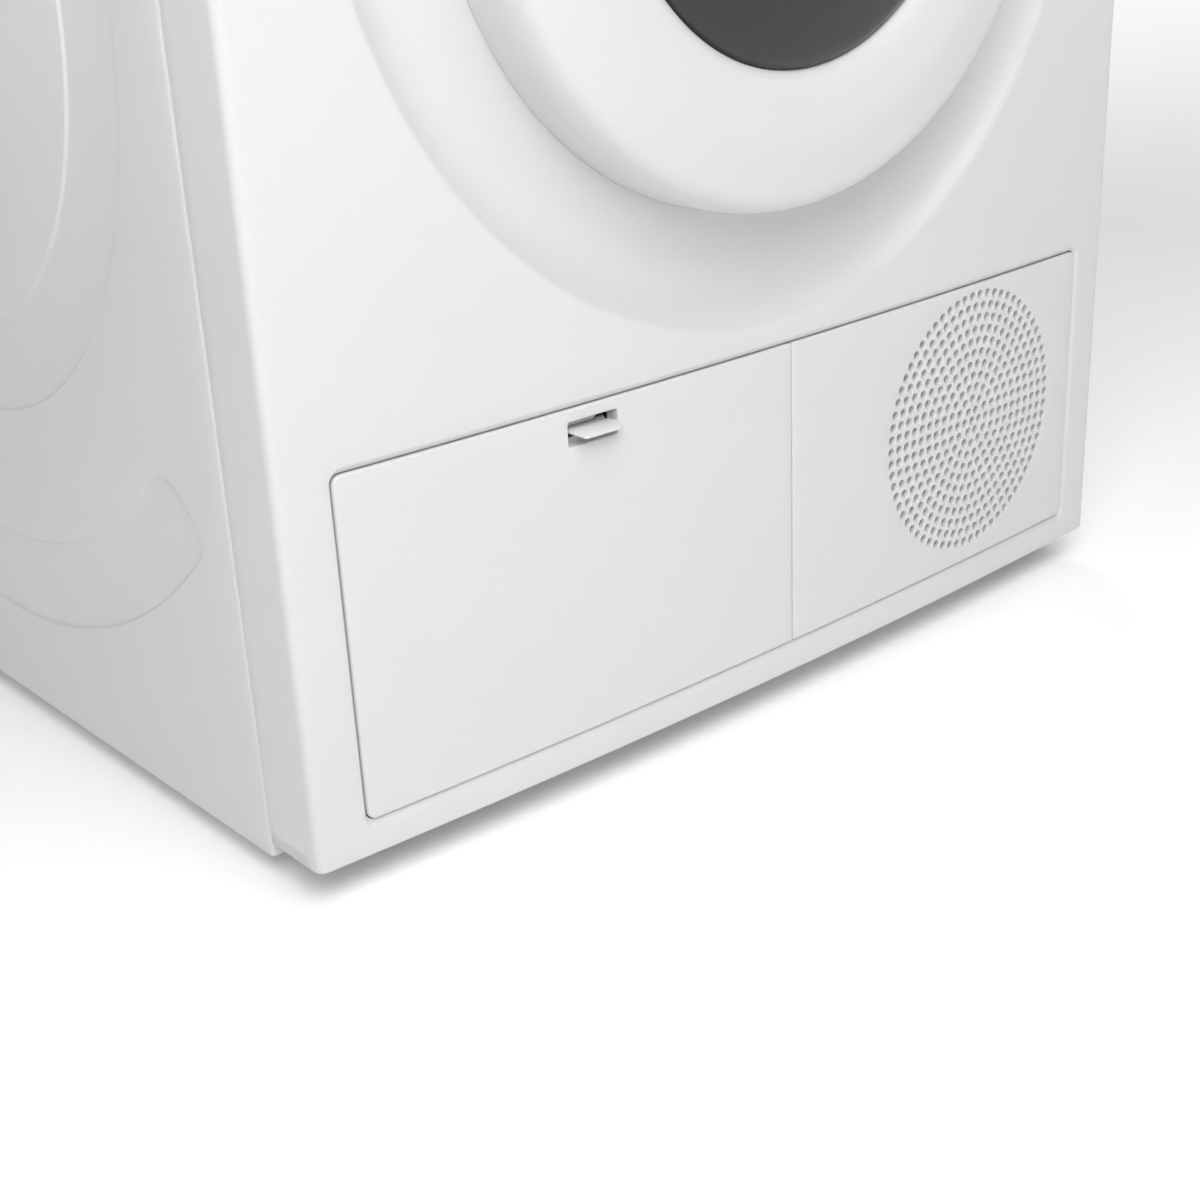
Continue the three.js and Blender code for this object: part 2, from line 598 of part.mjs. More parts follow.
function armPost() {
  const [px, pz] = ARM_PIVOT;
  const foot = box(px - 14, px + 14, -50, -30, 19, 25);
  const post = box(px - 5, px + 5, -50, -44, 24.9, pz + 5);
  return sum(foot, post, disc(px, pz, 4, -58, -44.1, 16));
}

function heatExchanger() {
  const [x0, x1] = [BAY_X[0] + 1, BAY_X[1] - 1];
  const [z0, z1] = [BAY_Z[0] + 1, BAY_Z[1] - 1];
  const core = box(x0 + 10, x1 - 10, -240, 160, z0, z1);
  const cover = box(x0, x1, -246, -239.9, z0, z1);
  const channels = [];
  for (let i = 0; i < 12; i += 1) channels.push(box(x0, x1, -232 + i * 32, -204 + i * 32, 32, z1 - 6));
  const grip = box(-160, -100, -246.1, -243, 90, 112);
  return cut(sum(core, cover), ...channels, grip);
}

function exchangerLock(x) {
  const z = 150;
  const knob = disc(x, z, 9, -252, -246.3, 20);
  return sum(knob, box(x - 3, x + 3, -256, -251.9, z - 20, z + 7));
}

function condensatePump() {
  const body = box(184, 244, 186, 250, 20.3, 74);
  return sum(body, prismZ(arc(214, 218, 20, 0, 360, 20).slice(1), 73.9, 110));
}

function heater() {
  const plate = box(60, 150, REAR - 22, REAR - 12, 240, 330);
  return plate.subtract(box(66, 144, REAR - 25, REAR - 9, 246, 324));
}

function cableInlet() {
  const y = REAR - 3 + GAP;
  return turned(235, 745, [
    [4, REAR - 14], [10.7, REAR - 14], [10.7, y], [15, y], [15, y + 4], [9, y + 10], [4, y + 10],
  ], 24);
}

// ---- assembly -----------------------------------------------------------
const WHITE = [0xf3f4f5, 0.34, 0];
const PLASTIC = [0xeff0f1, 0.4, 0];
const GREY = [0xa9adb0, 0.5, 0];
const DARK = [0x1d1f22, 0.4, 0];
const STEEL = [0xb9bcbf, 0.32, 1];
const RUBBER = [0x55585b, 0.75, 0];

const dryer = new THREE.Group();

function add(name, body, [color, roughness, metalness], extra = {}) {
  const { vertProperties, triVerts } = body.getMesh();
  const geometry = new THREE.BufferGeometry();
  geometry.setAttribute('position', new THREE.BufferAttribute(vertProperties, 3));
  geometry.setIndex(new THREE.BufferAttribute(triVerts, 1));
  geometry.computeVertexNormals();
  const material = new THREE.MeshStandardMaterial({ color, roughness, metalness, ...extra });
  const mesh = new THREE.Mesh(geometry, material);
  mesh.name = name;
  dryer.add(mesh);
}

add('base_tray', baseTray(), GREY);
['front_left', 'front_right', 'rear_left', 'rear_right'].forEach((place, i) => {
  add(`foot_${place}`, levellingFoot(FEET[i]), RUBBER);
});
add('side_panel_left', sidePanel(-1), WHITE);
add('side_panel_right', sidePanel(1), WHITE);
add('rear_panel', rearPanel(), GREY);
add('rear_duct_cover', rearDuctCover(), GREY);
add('worktop', worktop(), PLASTIC);
add('front_panel', frontPanel(), WHITE);
add('plinth_frame', plinthFrame(), PLASTIC);
add('service_flap', serviceFlap(), PLASTIC);
add('latch_lever', latchLever(), PLASTIC);
add('vent_grille', ventGrille(), PLASTIC);
add('control_fascia', controlFascia(), PLASTIC);
add('program_dial', programDial(), PLASTIC);
add('display_window', displayWindow(), DARK);
for (const [name, place] of Object.entries(KEYS)) add(name, roundKey(place), PLASTIC);
add('control_board', controlBoard(), [0x2f6b46, 0.6, 0]);
add('condensate_tank', condensateTank(), [0xdfe6ea, 0.3, 0]);
add('tank_front', tankFront(), PLASTIC);
add('door_ring', doorRing(), PLASTIC);
add('door_window', doorWindow(), DARK, { transparent: true, opacity: 0.55 });
add('door_inner_frame', doorInnerFrame(), PLASTIC);
add('door_bowl', doorBowl(), [0xdfe8ea, 0.05, 0], { transparent: true, opacity: 0.35 });
add('door_seal', doorSeal(), RUBBER);
add('door_hinge', doorHinge(), STEEL);
add('door_hinge_arm', doorHingeArm(), STEEL);
add('door_hinge_pin', doorHingePin(), STEEL);
add('door_lock', doorLock(), DARK);
add('front_bulkhead', frontBulkhead(), GREY);
add('felt_seal', feltSeal(), [0x8d8a83, 0.95, 0]);
add('lint_filter', lintFilter(), PLASTIC);
add('drum_shell', drumShell(), STEEL);
add('drum_rear_wall', drumRearWall(), STEEL);
for (let i = 0; i < 3; i += 1) add(`drum_lifter_${i + 1}`, drumLifter(i), PLASTIC);
add('drum_shaft', drumShaft(), STEEL);
add('rear_bearing', rearBearing(), GREY);
for (const [name, side] of [['left', -1], ['right', 1]]) {
  add(`support_roller_${name}`, supportRoller(side), RUBBER);
  add(`roller_axle_${name}`, rollerAxle(side), STEEL);
}
add('drive_belt', driveBelt(), RUBBER);
add('motor', motor(), STEEL);
add('motor_shaft', motorShaft(), STEEL);
add('tension_arm', tensionArm(), STEEL);
add('tension_pulley', tensionPulley(), DARK);
add('fan_wheel', fanWheel(), DARK);
add('fan_housing', fanHousing(), GREY);
add('heat_exchanger', heatExchanger(), STEEL);
add('exchanger_lock_left', exchangerLock(-232), DARK);
add('exchanger_lock_right', exchangerLock(-46), DARK);
add('condensate_pump', condensatePump(), DARK);
add('heater', heater(), STEEL);
add('cable_inlet', cableInlet(), DARK);

export default dryer;
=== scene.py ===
import json
import math

import bmesh
import bpy
import numpy as np
from mathutils import Matrix, Vector
from mathutils.geometry import delaunay_2d_cdt


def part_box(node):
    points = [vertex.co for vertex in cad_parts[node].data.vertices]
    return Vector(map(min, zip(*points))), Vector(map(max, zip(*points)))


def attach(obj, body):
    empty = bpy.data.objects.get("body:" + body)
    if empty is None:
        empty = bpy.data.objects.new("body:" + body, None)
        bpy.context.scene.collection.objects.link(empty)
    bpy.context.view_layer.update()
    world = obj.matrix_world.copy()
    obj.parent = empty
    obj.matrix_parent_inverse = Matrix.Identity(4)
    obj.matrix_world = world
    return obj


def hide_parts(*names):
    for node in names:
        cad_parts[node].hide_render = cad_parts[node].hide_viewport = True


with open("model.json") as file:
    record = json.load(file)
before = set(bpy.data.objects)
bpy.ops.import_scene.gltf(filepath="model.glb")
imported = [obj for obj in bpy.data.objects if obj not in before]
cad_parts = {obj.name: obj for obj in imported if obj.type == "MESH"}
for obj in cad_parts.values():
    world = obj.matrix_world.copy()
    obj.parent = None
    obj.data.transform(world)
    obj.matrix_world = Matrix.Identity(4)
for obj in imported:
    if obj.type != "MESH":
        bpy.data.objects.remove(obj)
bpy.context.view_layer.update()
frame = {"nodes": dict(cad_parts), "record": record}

# Shapes are worked out in millimetres in the row frame and stored in metres.
MM = 0.001


def box_mm(node):
    """Lowest and highest corner of a CAD node, in millimetres."""
    low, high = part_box(node)
    return np.array(low) / MM, np.array(high) / MM


# ---- sizes taken from the frame, and the few that the boxes don't tell ----
FRONT_LOW, FRONT_HIGH = box_mm("front_panel")
SIDE_LOW, SIDE_HIGH = box_mm("side_panel_right")
FASCIA_LOW, FASCIA_HIGH = box_mm("control_fascia")
TOP_LOW, TOP_HIGH = box_mm("worktop")
GRILLE_LOW, GRILLE_HIGH = box_mm("vent_grille")
RING_LOW, RING_HIGH = box_mm("door_ring")
DRUM_LOW, DRUM_HIGH = box_mm("drum_shell")
HALF = FRONT_HIGH[0]
FRONT = FRONT_LOW[1]
SEAM = FRONT_HIGH[1]
BOW = 9.3                  # the front falls back this much towards its corners
CORNER_R = 5.0
CORNER_X = HALF - CORNER_R
DOOR_Z = (RING_LOW[2] + RING_HIGH[2]) / 2
DOOR_R = RING_HIGH[0]
DISH_R = 248.0
DISH_DEPTH = 15.0
DISH_RUN = 27.0            # width of the soft wall of the dish
APERTURE_R = 174.0
RECESS = (-273.6, 273.6, 34.5, 211.3)
RECESS_R = 7.5
RECESS_SIDE = 272.4        # half width at the face
RECESS_STEP = 0.5          # the flap and the grille stand this far behind the front
RECESS_DROP = 1.3          # the lower bevel starts this much further down
BEVEL_WIDTH = 2.9
BEVEL_SIDE_SHARE = 0.69    # width of the bevel on the left and right as a share of the others
GRID = 9.0                 # spacing of the points that carry the bow
KEEP_OFF = 0.45            # share of the spacing kept free along a border
SHARP_ANGLE = 32.0
SHEET_WELD = 0.02          # points of a sheet closer than this become one
FORWARD, BACKWARD = (0, -1, 0), (0, 1, 0)


def front_y(x):
    return FRONT + BOW * (x / HALF) ** 2


# ---- camera ----
CAMERA_PLACE = (-0.6632, FRONT * MM - 0.6245, 0.4635)
CAMERA_LENS, CAMERA_SENSOR = 54.36, 36.0
CAMERA_CLIP = (0.05, 50.0)
CAMERA_TURNS = (40.53, 23.41, 2.8)      # azimuth, elevation and roll in degrees


def make_camera():
    """Stands at the photograph's viewpoint, left of the front and a little above it."""
    data = bpy.data.cameras.new("camera")
    data.lens = CAMERA_LENS
    data.sensor_width = CAMERA_SENSOR
    data.clip_start, data.clip_end = CAMERA_CLIP
    camera = bpy.data.objects.new("camera", data)
    azimuth, elevation, roll = (math.radians(turn) for turn in CAMERA_TURNS)
    ahead = Vector((math.sin(azimuth) * math.cos(elevation), math.cos(azimuth) * math.cos(elevation),
                    -math.sin(elevation)))
    level = ahead.cross(Vector((0, 0, 1))).normalized()
    right = level * math.cos(roll) - level.cross(ahead) * math.sin(roll)
    up = right.cross(ahead)
    turn = Matrix((right, up, -ahead)).transposed().to_4x4()
    camera.matrix_world = Matrix.Translation(CAMERA_PLACE) @ turn
    bpy.context.scene.collection.objects.link(camera)
    bpy.context.scene.camera = camera


# ---- materials ----
REFRACTION = 1.45
COAT_ROUGHNESS = 0.12
RAMP_ENDS = (0.3, 0.7)


def material(name, color, roughness, metallic=0.0, grain=None, tint=0.03, patches=9.0, streaks=None,
             coat=0.0, alpha=1.0, sheen=0.0, rough_spread=0.08):
    """A Principled finish: colour and roughness drift slowly over the surface, and grain = (cells per metre,
    height in metres) gives its fine texture. streaks = (x, y, z) stretches that texture along an axis."""
    made = bpy.data.materials.new(name)
    made.use_nodes = True
    nodes, links = made.node_tree.nodes, made.node_tree.links
    shader = nodes["Principled BSDF"]
    shader.inputs["Metallic"].default_value = metallic
    shader.inputs["IOR"].default_value = REFRACTION
    shader.inputs["Coat Weight"].default_value = coat
    shader.inputs["Coat Roughness"].default_value = COAT_ROUGHNESS
    shader.inputs["Sheen Weight"].default_value = sheen
    shader.inputs["Alpha"].default_value = alpha
    place = nodes.new("ShaderNodeTexCoord")
    drift = nodes.new("ShaderNodeTexNoise")
    drift.inputs["Scale"].default_value = patches
    drift.inputs["Detail"].default_value = 3.0
    links.new(place.outputs["Object"], drift.inputs["Vector"])
    ramp = nodes.new("ShaderNodeValToRGB")
    dark = [c * (1 - tint) for c in color]
    light = [min(1.0, c * (1 + tint)) for c in color]
    for element, shade, position in zip(ramp.color_ramp.elements, (dark, light), RAMP_ENDS):
        element.color = (*shade, 1)
        element.position = position
    links.new(drift.outputs["Fac"], ramp.inputs["Fac"])
    links.new(ramp.outputs["Color"], shader.inputs["Base Color"])
    rough = nodes.new("ShaderNodeMapRange")
    rough.inputs["To Min"].default_value = roughness * (1 - rough_spread)
    rough.inputs["To Max"].default_value = roughness * (1 + rough_spread)
    links.new(drift.outputs["Fac"], rough.inputs["Value"])
    links.new(rough.outputs["Result"], shader.inputs["Roughness"])
    if grain:
        cells, height = grain
        texture = nodes.new("ShaderNodeTexNoise")
        texture.inputs["Scale"].default_value = cells
        texture.inputs["Detail"].default_value = 2.0
        stretch = nodes.new("ShaderNodeMapping")
        stretch.inputs["Scale"].default_value = streaks or (1, 1, 1)
        links.new(place.outputs["Object"], stretch.inputs["Vector"])
        links.new(stretch.outputs["Vector"], texture.inputs["Vector"])
        bump = nodes.new("ShaderNodeBump")
        bump.inputs["Strength"].default_value = 1.0
        bump.inputs["Distance"].default_value = height
        links.new(texture.outputs["Fac"], bump.inputs["Height"])
        links.new(bump.outputs["Normal"], shader.inputs["Normal"])
    return made


ENAMEL = material("white_enamel", (0.63, 0.63, 0.632), 0.36, grain=(420, 0.000012), tint=0.008, coat=0.15)
PLASTIC = material("white_plastic", (0.63, 0.63, 0.63), 0.42, grain=(1500, 0.000012), tint=0.010)
GREY = material("grey_plastic", (0.34, 0.345, 0.35), 0.55, grain=(1300, 0.00003), tint=0.06)
BLACK = material("black_plastic", (0.016, 0.016, 0.018), 0.45, grain=(1300, 0.00002), tint=0.2)
TANK = material("milky_plastic", (0.70, 0.74, 0.77), 0.35, grain=(800, 0.00002), tint=0.04)
ZINC = material("zinc_steel", (0.55, 0.56, 0.57), 0.38, metallic=1.0, grain=(160, 0.00002), tint=0.10,
                patches=70.0, rough_spread=0.25)
STEEL = material("brushed_steel", (0.62, 0.62, 0.63), 0.28, metallic=1.0, grain=(900, 0.00001), tint=0.05,
                 streaks=(1, 0.02, 1), rough_spread=0.2)
FINS = material("aluminium_fins", (0.74, 0.75, 0.76), 0.34, metallic=1.0, grain=(700, 0.00004), tint=0.05,
                streaks=(0.05, 1, 0.05))
RUBBER = material("black_rubber", (0.022, 0.022, 0.023), 0.72, grain=(900, 0.00005), tint=0.2)
SEAL = material("grey_rubber", (0.13, 0.135, 0.14), 0.62, grain=(900, 0.00004), tint=0.12)
PALE_RUBBER = material("pale_rubber", (0.42, 0.425, 0.43), 0.7, grain=(900, 0.00005), tint=0.08)
FELT = material("wool_felt", (0.30, 0.285, 0.26), 0.95, grain=(1400, 0.0002), tint=0.2, patches=60.0,
                sheen=0.4)
SMOKED = material("smoked_glass", (0.02, 0.022, 0.025), 0.08, grain=(60, 0.000004), tint=0.2, coat=0.6,
                  alpha=0.72)
CLEAR = material("clear_glass", (0.86, 0.90, 0.90), 0.06, grain=(40, 0.00001), tint=0.02, alpha=0.28)
SCREEN = material("display_black", (0.012, 0.013, 0.015), 0.10, grain=(60, 0.000003), tint=0.2, coat=0.7)
BOARD = material("solder_mask", (0.02, 0.12, 0.05), 0.45, grain=(500, 0.00003), tint=0.2, patches=120.0)
PRINT = material("grey_print", (0.30, 0.31, 0.32), 0.5, grain=(1500, 0.00001), tint=0.08)

MATERIAL_OF_SLOT = {
    "white_steel": ENAMEL, "white_plastic": PLASTIC, "grey_plastic": GREY, "dark_plastic": BLACK,
    "tank_plastic": TANK, "drum_steel": STEEL, "zinc_steel": ZINC, "fins": FINS, "rubber": RUBBER,
    "seal_rubber": SEAL, "felt": FELT, "smoked_glass": SMOKED, "clear_glass": CLEAR, "display": SCREEN,
    "circuit_board": BOARD,
}
SLOT_OF = {finish: slot for slot, finish in MATERIAL_OF_SLOT.items()}
SLOT_OF[PRINT] = "grey_plastic"


# ---- outlines ----
def circle(x, z, r, count):
    """Loop of a circle; its one parameter moves it outward."""
    turns = np.linspace(0, 2 * math.pi, count, endpoint=False)
    return lambda out=0.0: np.column_stack([x + (r + out) * np.cos(turns), z + (r + out) * np.sin(turns)])


def arc_points(cx, cz, r, start, stop, count):
    turns = np.radians(np.linspace(start, stop, count))
    return np.column_stack([cx + r * np.cos(turns), cz + r * np.sin(turns)])


def spaced(a, b, step):
    """Points from a to b about step apart, ends included."""
    a, b = np.array(a, float), np.array(b, float)
    count = max(1, round(float(np.linalg.norm(b - a)) / step))
    return a + (b - a) * np.linspace(0, 1, count + 1)[:, None]


def round_rect(x0, x1, z0, z1, r, step=GRID, corner=6):
    """Loop of a rectangle with round corners, anticlockwise from the right side; r is one radius or four."""
    radii = [r] * 4 if np.isscalar(r) else list(r)
    centres = [(x1 - radii[0], z1 - radii[0]), (x0 + radii[1], z1 - radii[1]),
               (x0 + radii[2], z0 + radii[2]), (x1 - radii[3], z0 + radii[3])]

    def corners(out):
        return [arc_points(cx, cz, max(radius + out, 0.02), 90 * i, 90 * i + 90, corner)
                for i, ((cx, cz), radius) in enumerate(zip(centres, radii))]

    plain = corners(0.0)
    sides = [np.linalg.norm(plain[(i + 1) % 4][0] - plain[i][-1]) for i in range(4)]
    counts = [max(1, round(float(side) / step)) for side in sides]

    def loop(out=0.0):
        turned_corners = corners(out)
        points = []
        for i, count in enumerate(counts):
            a, b = turned_corners[i][-1], turned_corners[(i + 1) % 4][0]
            points += [turned_corners[i], a + (b - a) * np.linspace(0, 1, count + 1)[1:-1, None]]
        return np.vstack(points)
    return loop


def smooth_line(points, radius, count=5):
    """Open line with its inner corners rounded."""
    points = [np.array(p, float) for p in points]
    out = [points[0]]
    for a, p, b in zip(points, points[1:], points[2:]):
        reach_a = min(radius, 0.45 * np.linalg.norm(a - p))
        reach_b = min(radius, 0.45 * np.linalg.norm(b - p))
        start = p + (a - p) / np.linalg.norm(a - p) * reach_a
        stop = p + (b - p) / np.linalg.norm(b - p) * reach_b
        for t in np.linspace(0, 1, count):
            out.append(start * (1 - t) ** 2 + 2 * p * t * (1 - t) + stop * t ** 2)
    out.append(points[-1])
    return np.array(out)


def inside(points, loop):
    """Which points lie inside the closed loop."""
    x, z = points[:, 0], points[:, 1]
    result = np.zeros(len(points), bool)
    for (x0, z0), (x1, z1) in zip(loop, np.roll(loop, -1, axis=0)):
        crosses = (z0 > z) != (z1 > z)
        with np.errstate(divide="ignore", invalid="ignore"):
            at = x0 + (z - z0) * (x1 - x0) / (z1 - z0)
        result ^= crosses & (x < at)
    return result


# ---- meshes ----
class Skin:
    """Collects points in millimetres and faces, and becomes one piece."""

    def __init__(self):
        self.points, self.faces, self.slots = [], [], []
        self.slot = 0

    def add(self, points):
        start = len(self.points)
        self.points.extend(np.asarray(points, float).tolist())
        return start

    def face(self, ids):
        self.faces.append(list(ids))
        self.slots.append(self.slot)

    def rows(self, rows, closed=False):
        """Quads between rows of equal length."""
        starts = [self.add(r) for r in rows]
        count = len(rows[0])
        for a, b in zip(starts, starts[1:]):
            for i in range(count if closed else count - 1):
                j = (i + 1) % count
                self.face((a + i, a + j, b + j, b + i))

    def cap(self, loop):
        start = self.add(loop)
        self.face(range(start, start + len(loop)))

    def fill(self, outer, holes, place, step=GRID):
        """Triangles between a loop and its holes; place lifts (n, 2) to (n, 3)."""
        loops = [outer, *holes]
        low, high = outer.min(0), outer.max(0)
        xs = np.arange(low[0] + step / 2, high[0], step)
        zs = np.arange(low[1] + step / 2, high[1], step)
        extra = np.array([(x, z) for x in xs for z in zs]).reshape(-1, 2)
        if len(extra):
            wanted = inside(extra, outer)
            for hole in holes:
                wanted &= ~inside(extra, hole)
            extra = extra[wanted]
            border = np.vstack(loops)
            for part in np.array_split(np.arange(len(extra)), max(1, len(extra) // 400)):
                gap = np.linalg.norm(extra[part][:, None] - border[None], axis=2).min(axis=1)
                extra[part[gap <= step * KEEP_OFF]] = np.nan
            extra = extra[~np.isnan(extra[:, 0])]
        points, edges = [], []
        for loop in loops:
            first = len(points)
            points.extend(map(tuple, loop))
            edges.extend((first + i, first + (i + 1) % len(loop)) for i in range(len(loop)))
        points.extend(map(tuple, extra))
        found = delaunay_2d_cdt([Vector(p) for p in points], edges, [], 0, 1e-6, False)
        flat = np.array([tuple(v) for v in found[0]])
        triangles = np.array([f for f in found[2] if len(f) == 3])
        middle = flat[triangles].mean(axis=1)
        kept = inside(middle, outer)
        for hole in holes:
            near = np.all((middle >= hole.min(0)) & (middle <= hole.max(0)), axis=1)
            kept[near] &= ~inside(middle[near], hole)
        start = self.add(place(flat))
        for a, b, c in triangles[kept]:
            self.face((start + a, start + b, start + c))

    def piece(self, name, finish, body, replaces=(), slot=None, weld=0.004, facing=None, wall=0.0):
        """Makes the object. facing is the outward direction of an open sheet and wall its thickness."""
        mesh = bpy.data.meshes.new(name)
        mesh.from_pydata([[c * MM for c in p] for p in self.points], [], self.faces)
        finishes = finish if isinstance(finish, (list, tuple)) else [finish]
        for one in finishes:
            mesh.materials.append(one)
        mesh.polygons.foreach_set("material_index", self.slots)
        work = bmesh.new()
        work.from_mesh(mesh)
        bmesh.ops.remove_doubles(work, verts=work.verts, dist=weld * MM)
        bmesh.ops.dissolve_degenerate(work, dist=weld * MM / 4, edges=work.edges)
        bmesh.ops.recalc_face_normals(work, faces=work.faces)
        if facing and sum((f.normal * f.calc_area() for f in work.faces), Vector()).dot(Vector(facing)) < 0:
            bmesh.ops.reverse_faces(work, faces=work.faces)
        work.to_mesh(mesh)
        work.free()
        mesh.polygons.foreach_set("use_smooth", [True] * len(mesh.polygons))
        mesh.set_sharp_from_angle(angle=math.radians(SHARP_ANGLE))
        made = bpy.data.objects.new(name, mesh)
        bpy.context.scene.collection.objects.link(made)
        if wall:
            sheet = made.modifiers.new("sheet", "SOLIDIFY")
            sheet.thickness = wall * MM
            sheet.offset = -1
        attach(made, body)
        if replaces:
            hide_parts(*([replaces] if isinstance(replaces, str) else replaces))
        slot or SLOT_OF[finishes[0]]


def on_bow(inset):
    """Lifts front-view points on to the bowed front, moved back by inset."""
    return lambda p: np.column_stack([p[:, 0], front_y(p[:, 0]) + inset, p[:, 1]])


def edge_rows(outline, lift, radius, depth):
    """Rows of a rounded edge from the face, then straight back to depth."""
    rows = []
    for turn in np.linspace(0, math.pi / 2, 5):
        out = radius * (math.sin(turn) - 1)
        rows.append(lift(radius * (1 - math.cos(turn)))(outline(out)))
    rows.append(lift(depth)(outline(0)))
    return rows


def bow_plate(skin, outline, inset, depth, radius, holes=(), lift=None, step=GRID):
    """Plate with a rounded front edge. holes are (outline, rows of (outward, depth), capped)."""
    lift = lift or (lambda back: on_bow(inset + back))
    skin.fill(outline(-radius), [hole(rows[0][0]) for hole, rows, _ in holes], lift(0), step)
    skin.rows(edge_rows(outline, lift, radius, depth), closed=True)
    for hole, rows, capped in holes:
        skin.rows([lift(back)(hole(out)) for out, back in rows], closed=True)
        if capped:
            skin.cap(lift(rows[-1][1])(hole(rows[-1][0])))


def close_back(skin, outline, inset, depth, holes=(), lift=None):
    """Closes the plate's back; holes are loops of points."""
    lift = lift or (lambda back: on_bow(inset + back))
    skin.fill(outline(0), list(holes), lift(depth), 2 * GRID)


def on_plane(axis, order=(0, 2), sign=1, start=0.0):
    """Lifts flat points on to a plane across an axis; the depth runs along sign from start."""
    def lift(depth):
        def place(points):
            out = np.zeros((len(points), 3))
            out[:, order[0]], out[:, order[1]] = points[:, 0], points[:, 1]
            out[:, axis] = start + sign * depth
            return out
        return place
    return lift


ALONG_X = on_plane(0, (1, 2))
ALONG_Y = on_plane(1)
ALONG_Z = on_plane(2, (0, 1))


def slab(skin, outline, lift, a, b, r=0.4, shrink=0.0):
    """Closed bar of an outline from depth a to b with softened rims; shrink narrows it towards b."""
    rows = []
    for turn in np.linspace(0, math.pi / 2, 4):
        rows.append(lift(a + r * (1 - math.sin(turn)))(outline(-r * (1 - math.cos(turn)))))
    rows = rows[::-1]
    for turn in np.linspace(0, math.pi / 2, 4):
        rows.append(lift(b - r * (1 - math.sin(turn)))(outline(-shrink - r * (1 - math.cos(turn)))))
    skin.rows(rows, closed=True)
    skin.cap(rows[0])
    skin.cap(rows[-1])


def polygon(points):
    """Outline of a convex polygon that moves outward along its corners' bisectors."""
    points = np.array(points, float)
    ahead = np.roll(points, -1, axis=0) - points
    ahead /= np.linalg.norm(ahead, axis=1)[:, None]
    behind = np.roll(ahead, 1, axis=0)
    turned_left = np.sign(np.sum(behind[:, 0] * ahead[:, 1] - behind[:, 1] * ahead[:, 0]))
    normal = np.column_stack([ahead[:, 1], -ahead[:, 0]]) * turned_left
    before = np.roll(normal, 1, axis=0)
    bisector = (normal + before) / (1 + np.sum(normal * before, axis=1))[:, None]
    return lambda out=0.0: points + bisector * out


def lathe(skin, x, z, profile, count):
    """Turned about a line parallel to Y; profile is (radius, y) and may start or end on the axis."""
    turns = np.linspace(0, 2 * math.pi, count, endpoint=False)
    rows = []
    for r, y in profile:
        r = max(r, 0.0)
        rows.append(np.column_stack([x + r * np.cos(turns), np.full(count, y), z + r * np.sin(turns)]))
    skin.rows(rows, closed=True)


def turned_piece(name, x, z, profile, finish, body, replaces, count, radius=0.0, close=True):
    """One lathe piece; close joins the profile's end to its start, and radius rounds its corners."""
    line = [tuple(p) for p in profile]
    if close:
        line = line + [line[0]]
    skin = Skin()
    lathe(skin, x, z, smooth_line(line, radius) if radius else line, count)
    skin.piece(name, finish, body, replaces)


# ---- the wrapped front sheets ----
def wrap_sides(skin, levels):
    """The two corners and short side strips of a front sheet, at the given heights."""
    y = front_y(CORNER_X)
    for side in (-1, 1):
        line = [(CORNER_X, y)]
        for turn in np.radians(np.linspace(0, 90, 7))[1:]:
            line.append((CORNER_X + CORNER_R * math.sin(turn), y + CORNER_R * (1 - math.cos(turn))))
        for back in np.linspace(y + CORNER_R + 6, SEAM - 1.6, 6):
            line.append((HALF, back))
        line += [(HALF - 0.35, SEAM - 0.5), (HALF - 1.4, SEAM), (HALF - 12, SEAM)]
        skin.rows([[(side * x, back, z) for x, back in line] for z in levels])


def sheet_outline(z0, z1):
    """Plain rectangle of the sheet's bowed part, between its corners."""
    right = spaced((CORNER_X, z0), (CORNER_X, z1), GRID)
    top = spaced((CORNER_X, z1), (-CORNER_X, z1), GRID)[1:]
    left = spaced((-CORNER_X, z1), (-CORNER_X, z0), GRID)[1:]
    bottom = spaced((-CORNER_X, z0), (CORNER_X, z0), GRID)[1:-1]
    return np.vstack([right, top, left, bottom]), right[:, 1]


def turned_in_edge(skin, z, down, reach):
    """The sheet's lower or upper edge, rolled in and back by reach."""
    plan = [(-HALF, SEAM - 1.6)]
    y = front_y(CORNER_X)
    arc = np.radians(np.linspace(0, 90, 7))
    plan += [(-CORNER_X - CORNER_R * math.cos(t), y + CORNER_R * (1 - math.sin(t))) for t in arc]
    plan += [(x, front_y(x)) for x in spaced((-CORNER_X,), (CORNER_X,), GRID)[1:-1, 0]]
    plan += [(CORNER_X + CORNER_R * math.sin(t), y + CORNER_R * (1 - math.cos(t))) for t in arc]
    plan += [(HALF, SEAM - 1.6)]
    plan = np.array(plan)
    along = np.gradient(plan, axis=0)
    normal = np.column_stack([-along[:, 1], along[:, 0]])
    normal /= np.linalg.norm(normal, axis=1)[:, None]
    rows = []
    for out, fall in [(0, 0), (0.25, 0.8), (0.9, 1.3), (1.8, 1.5), (reach, 1.5)]:
        moved = plan + normal * out
        rows.append(np.column_stack([moved, np.full(len(plan), z - fall * down)]))
    skin.rows(rows)


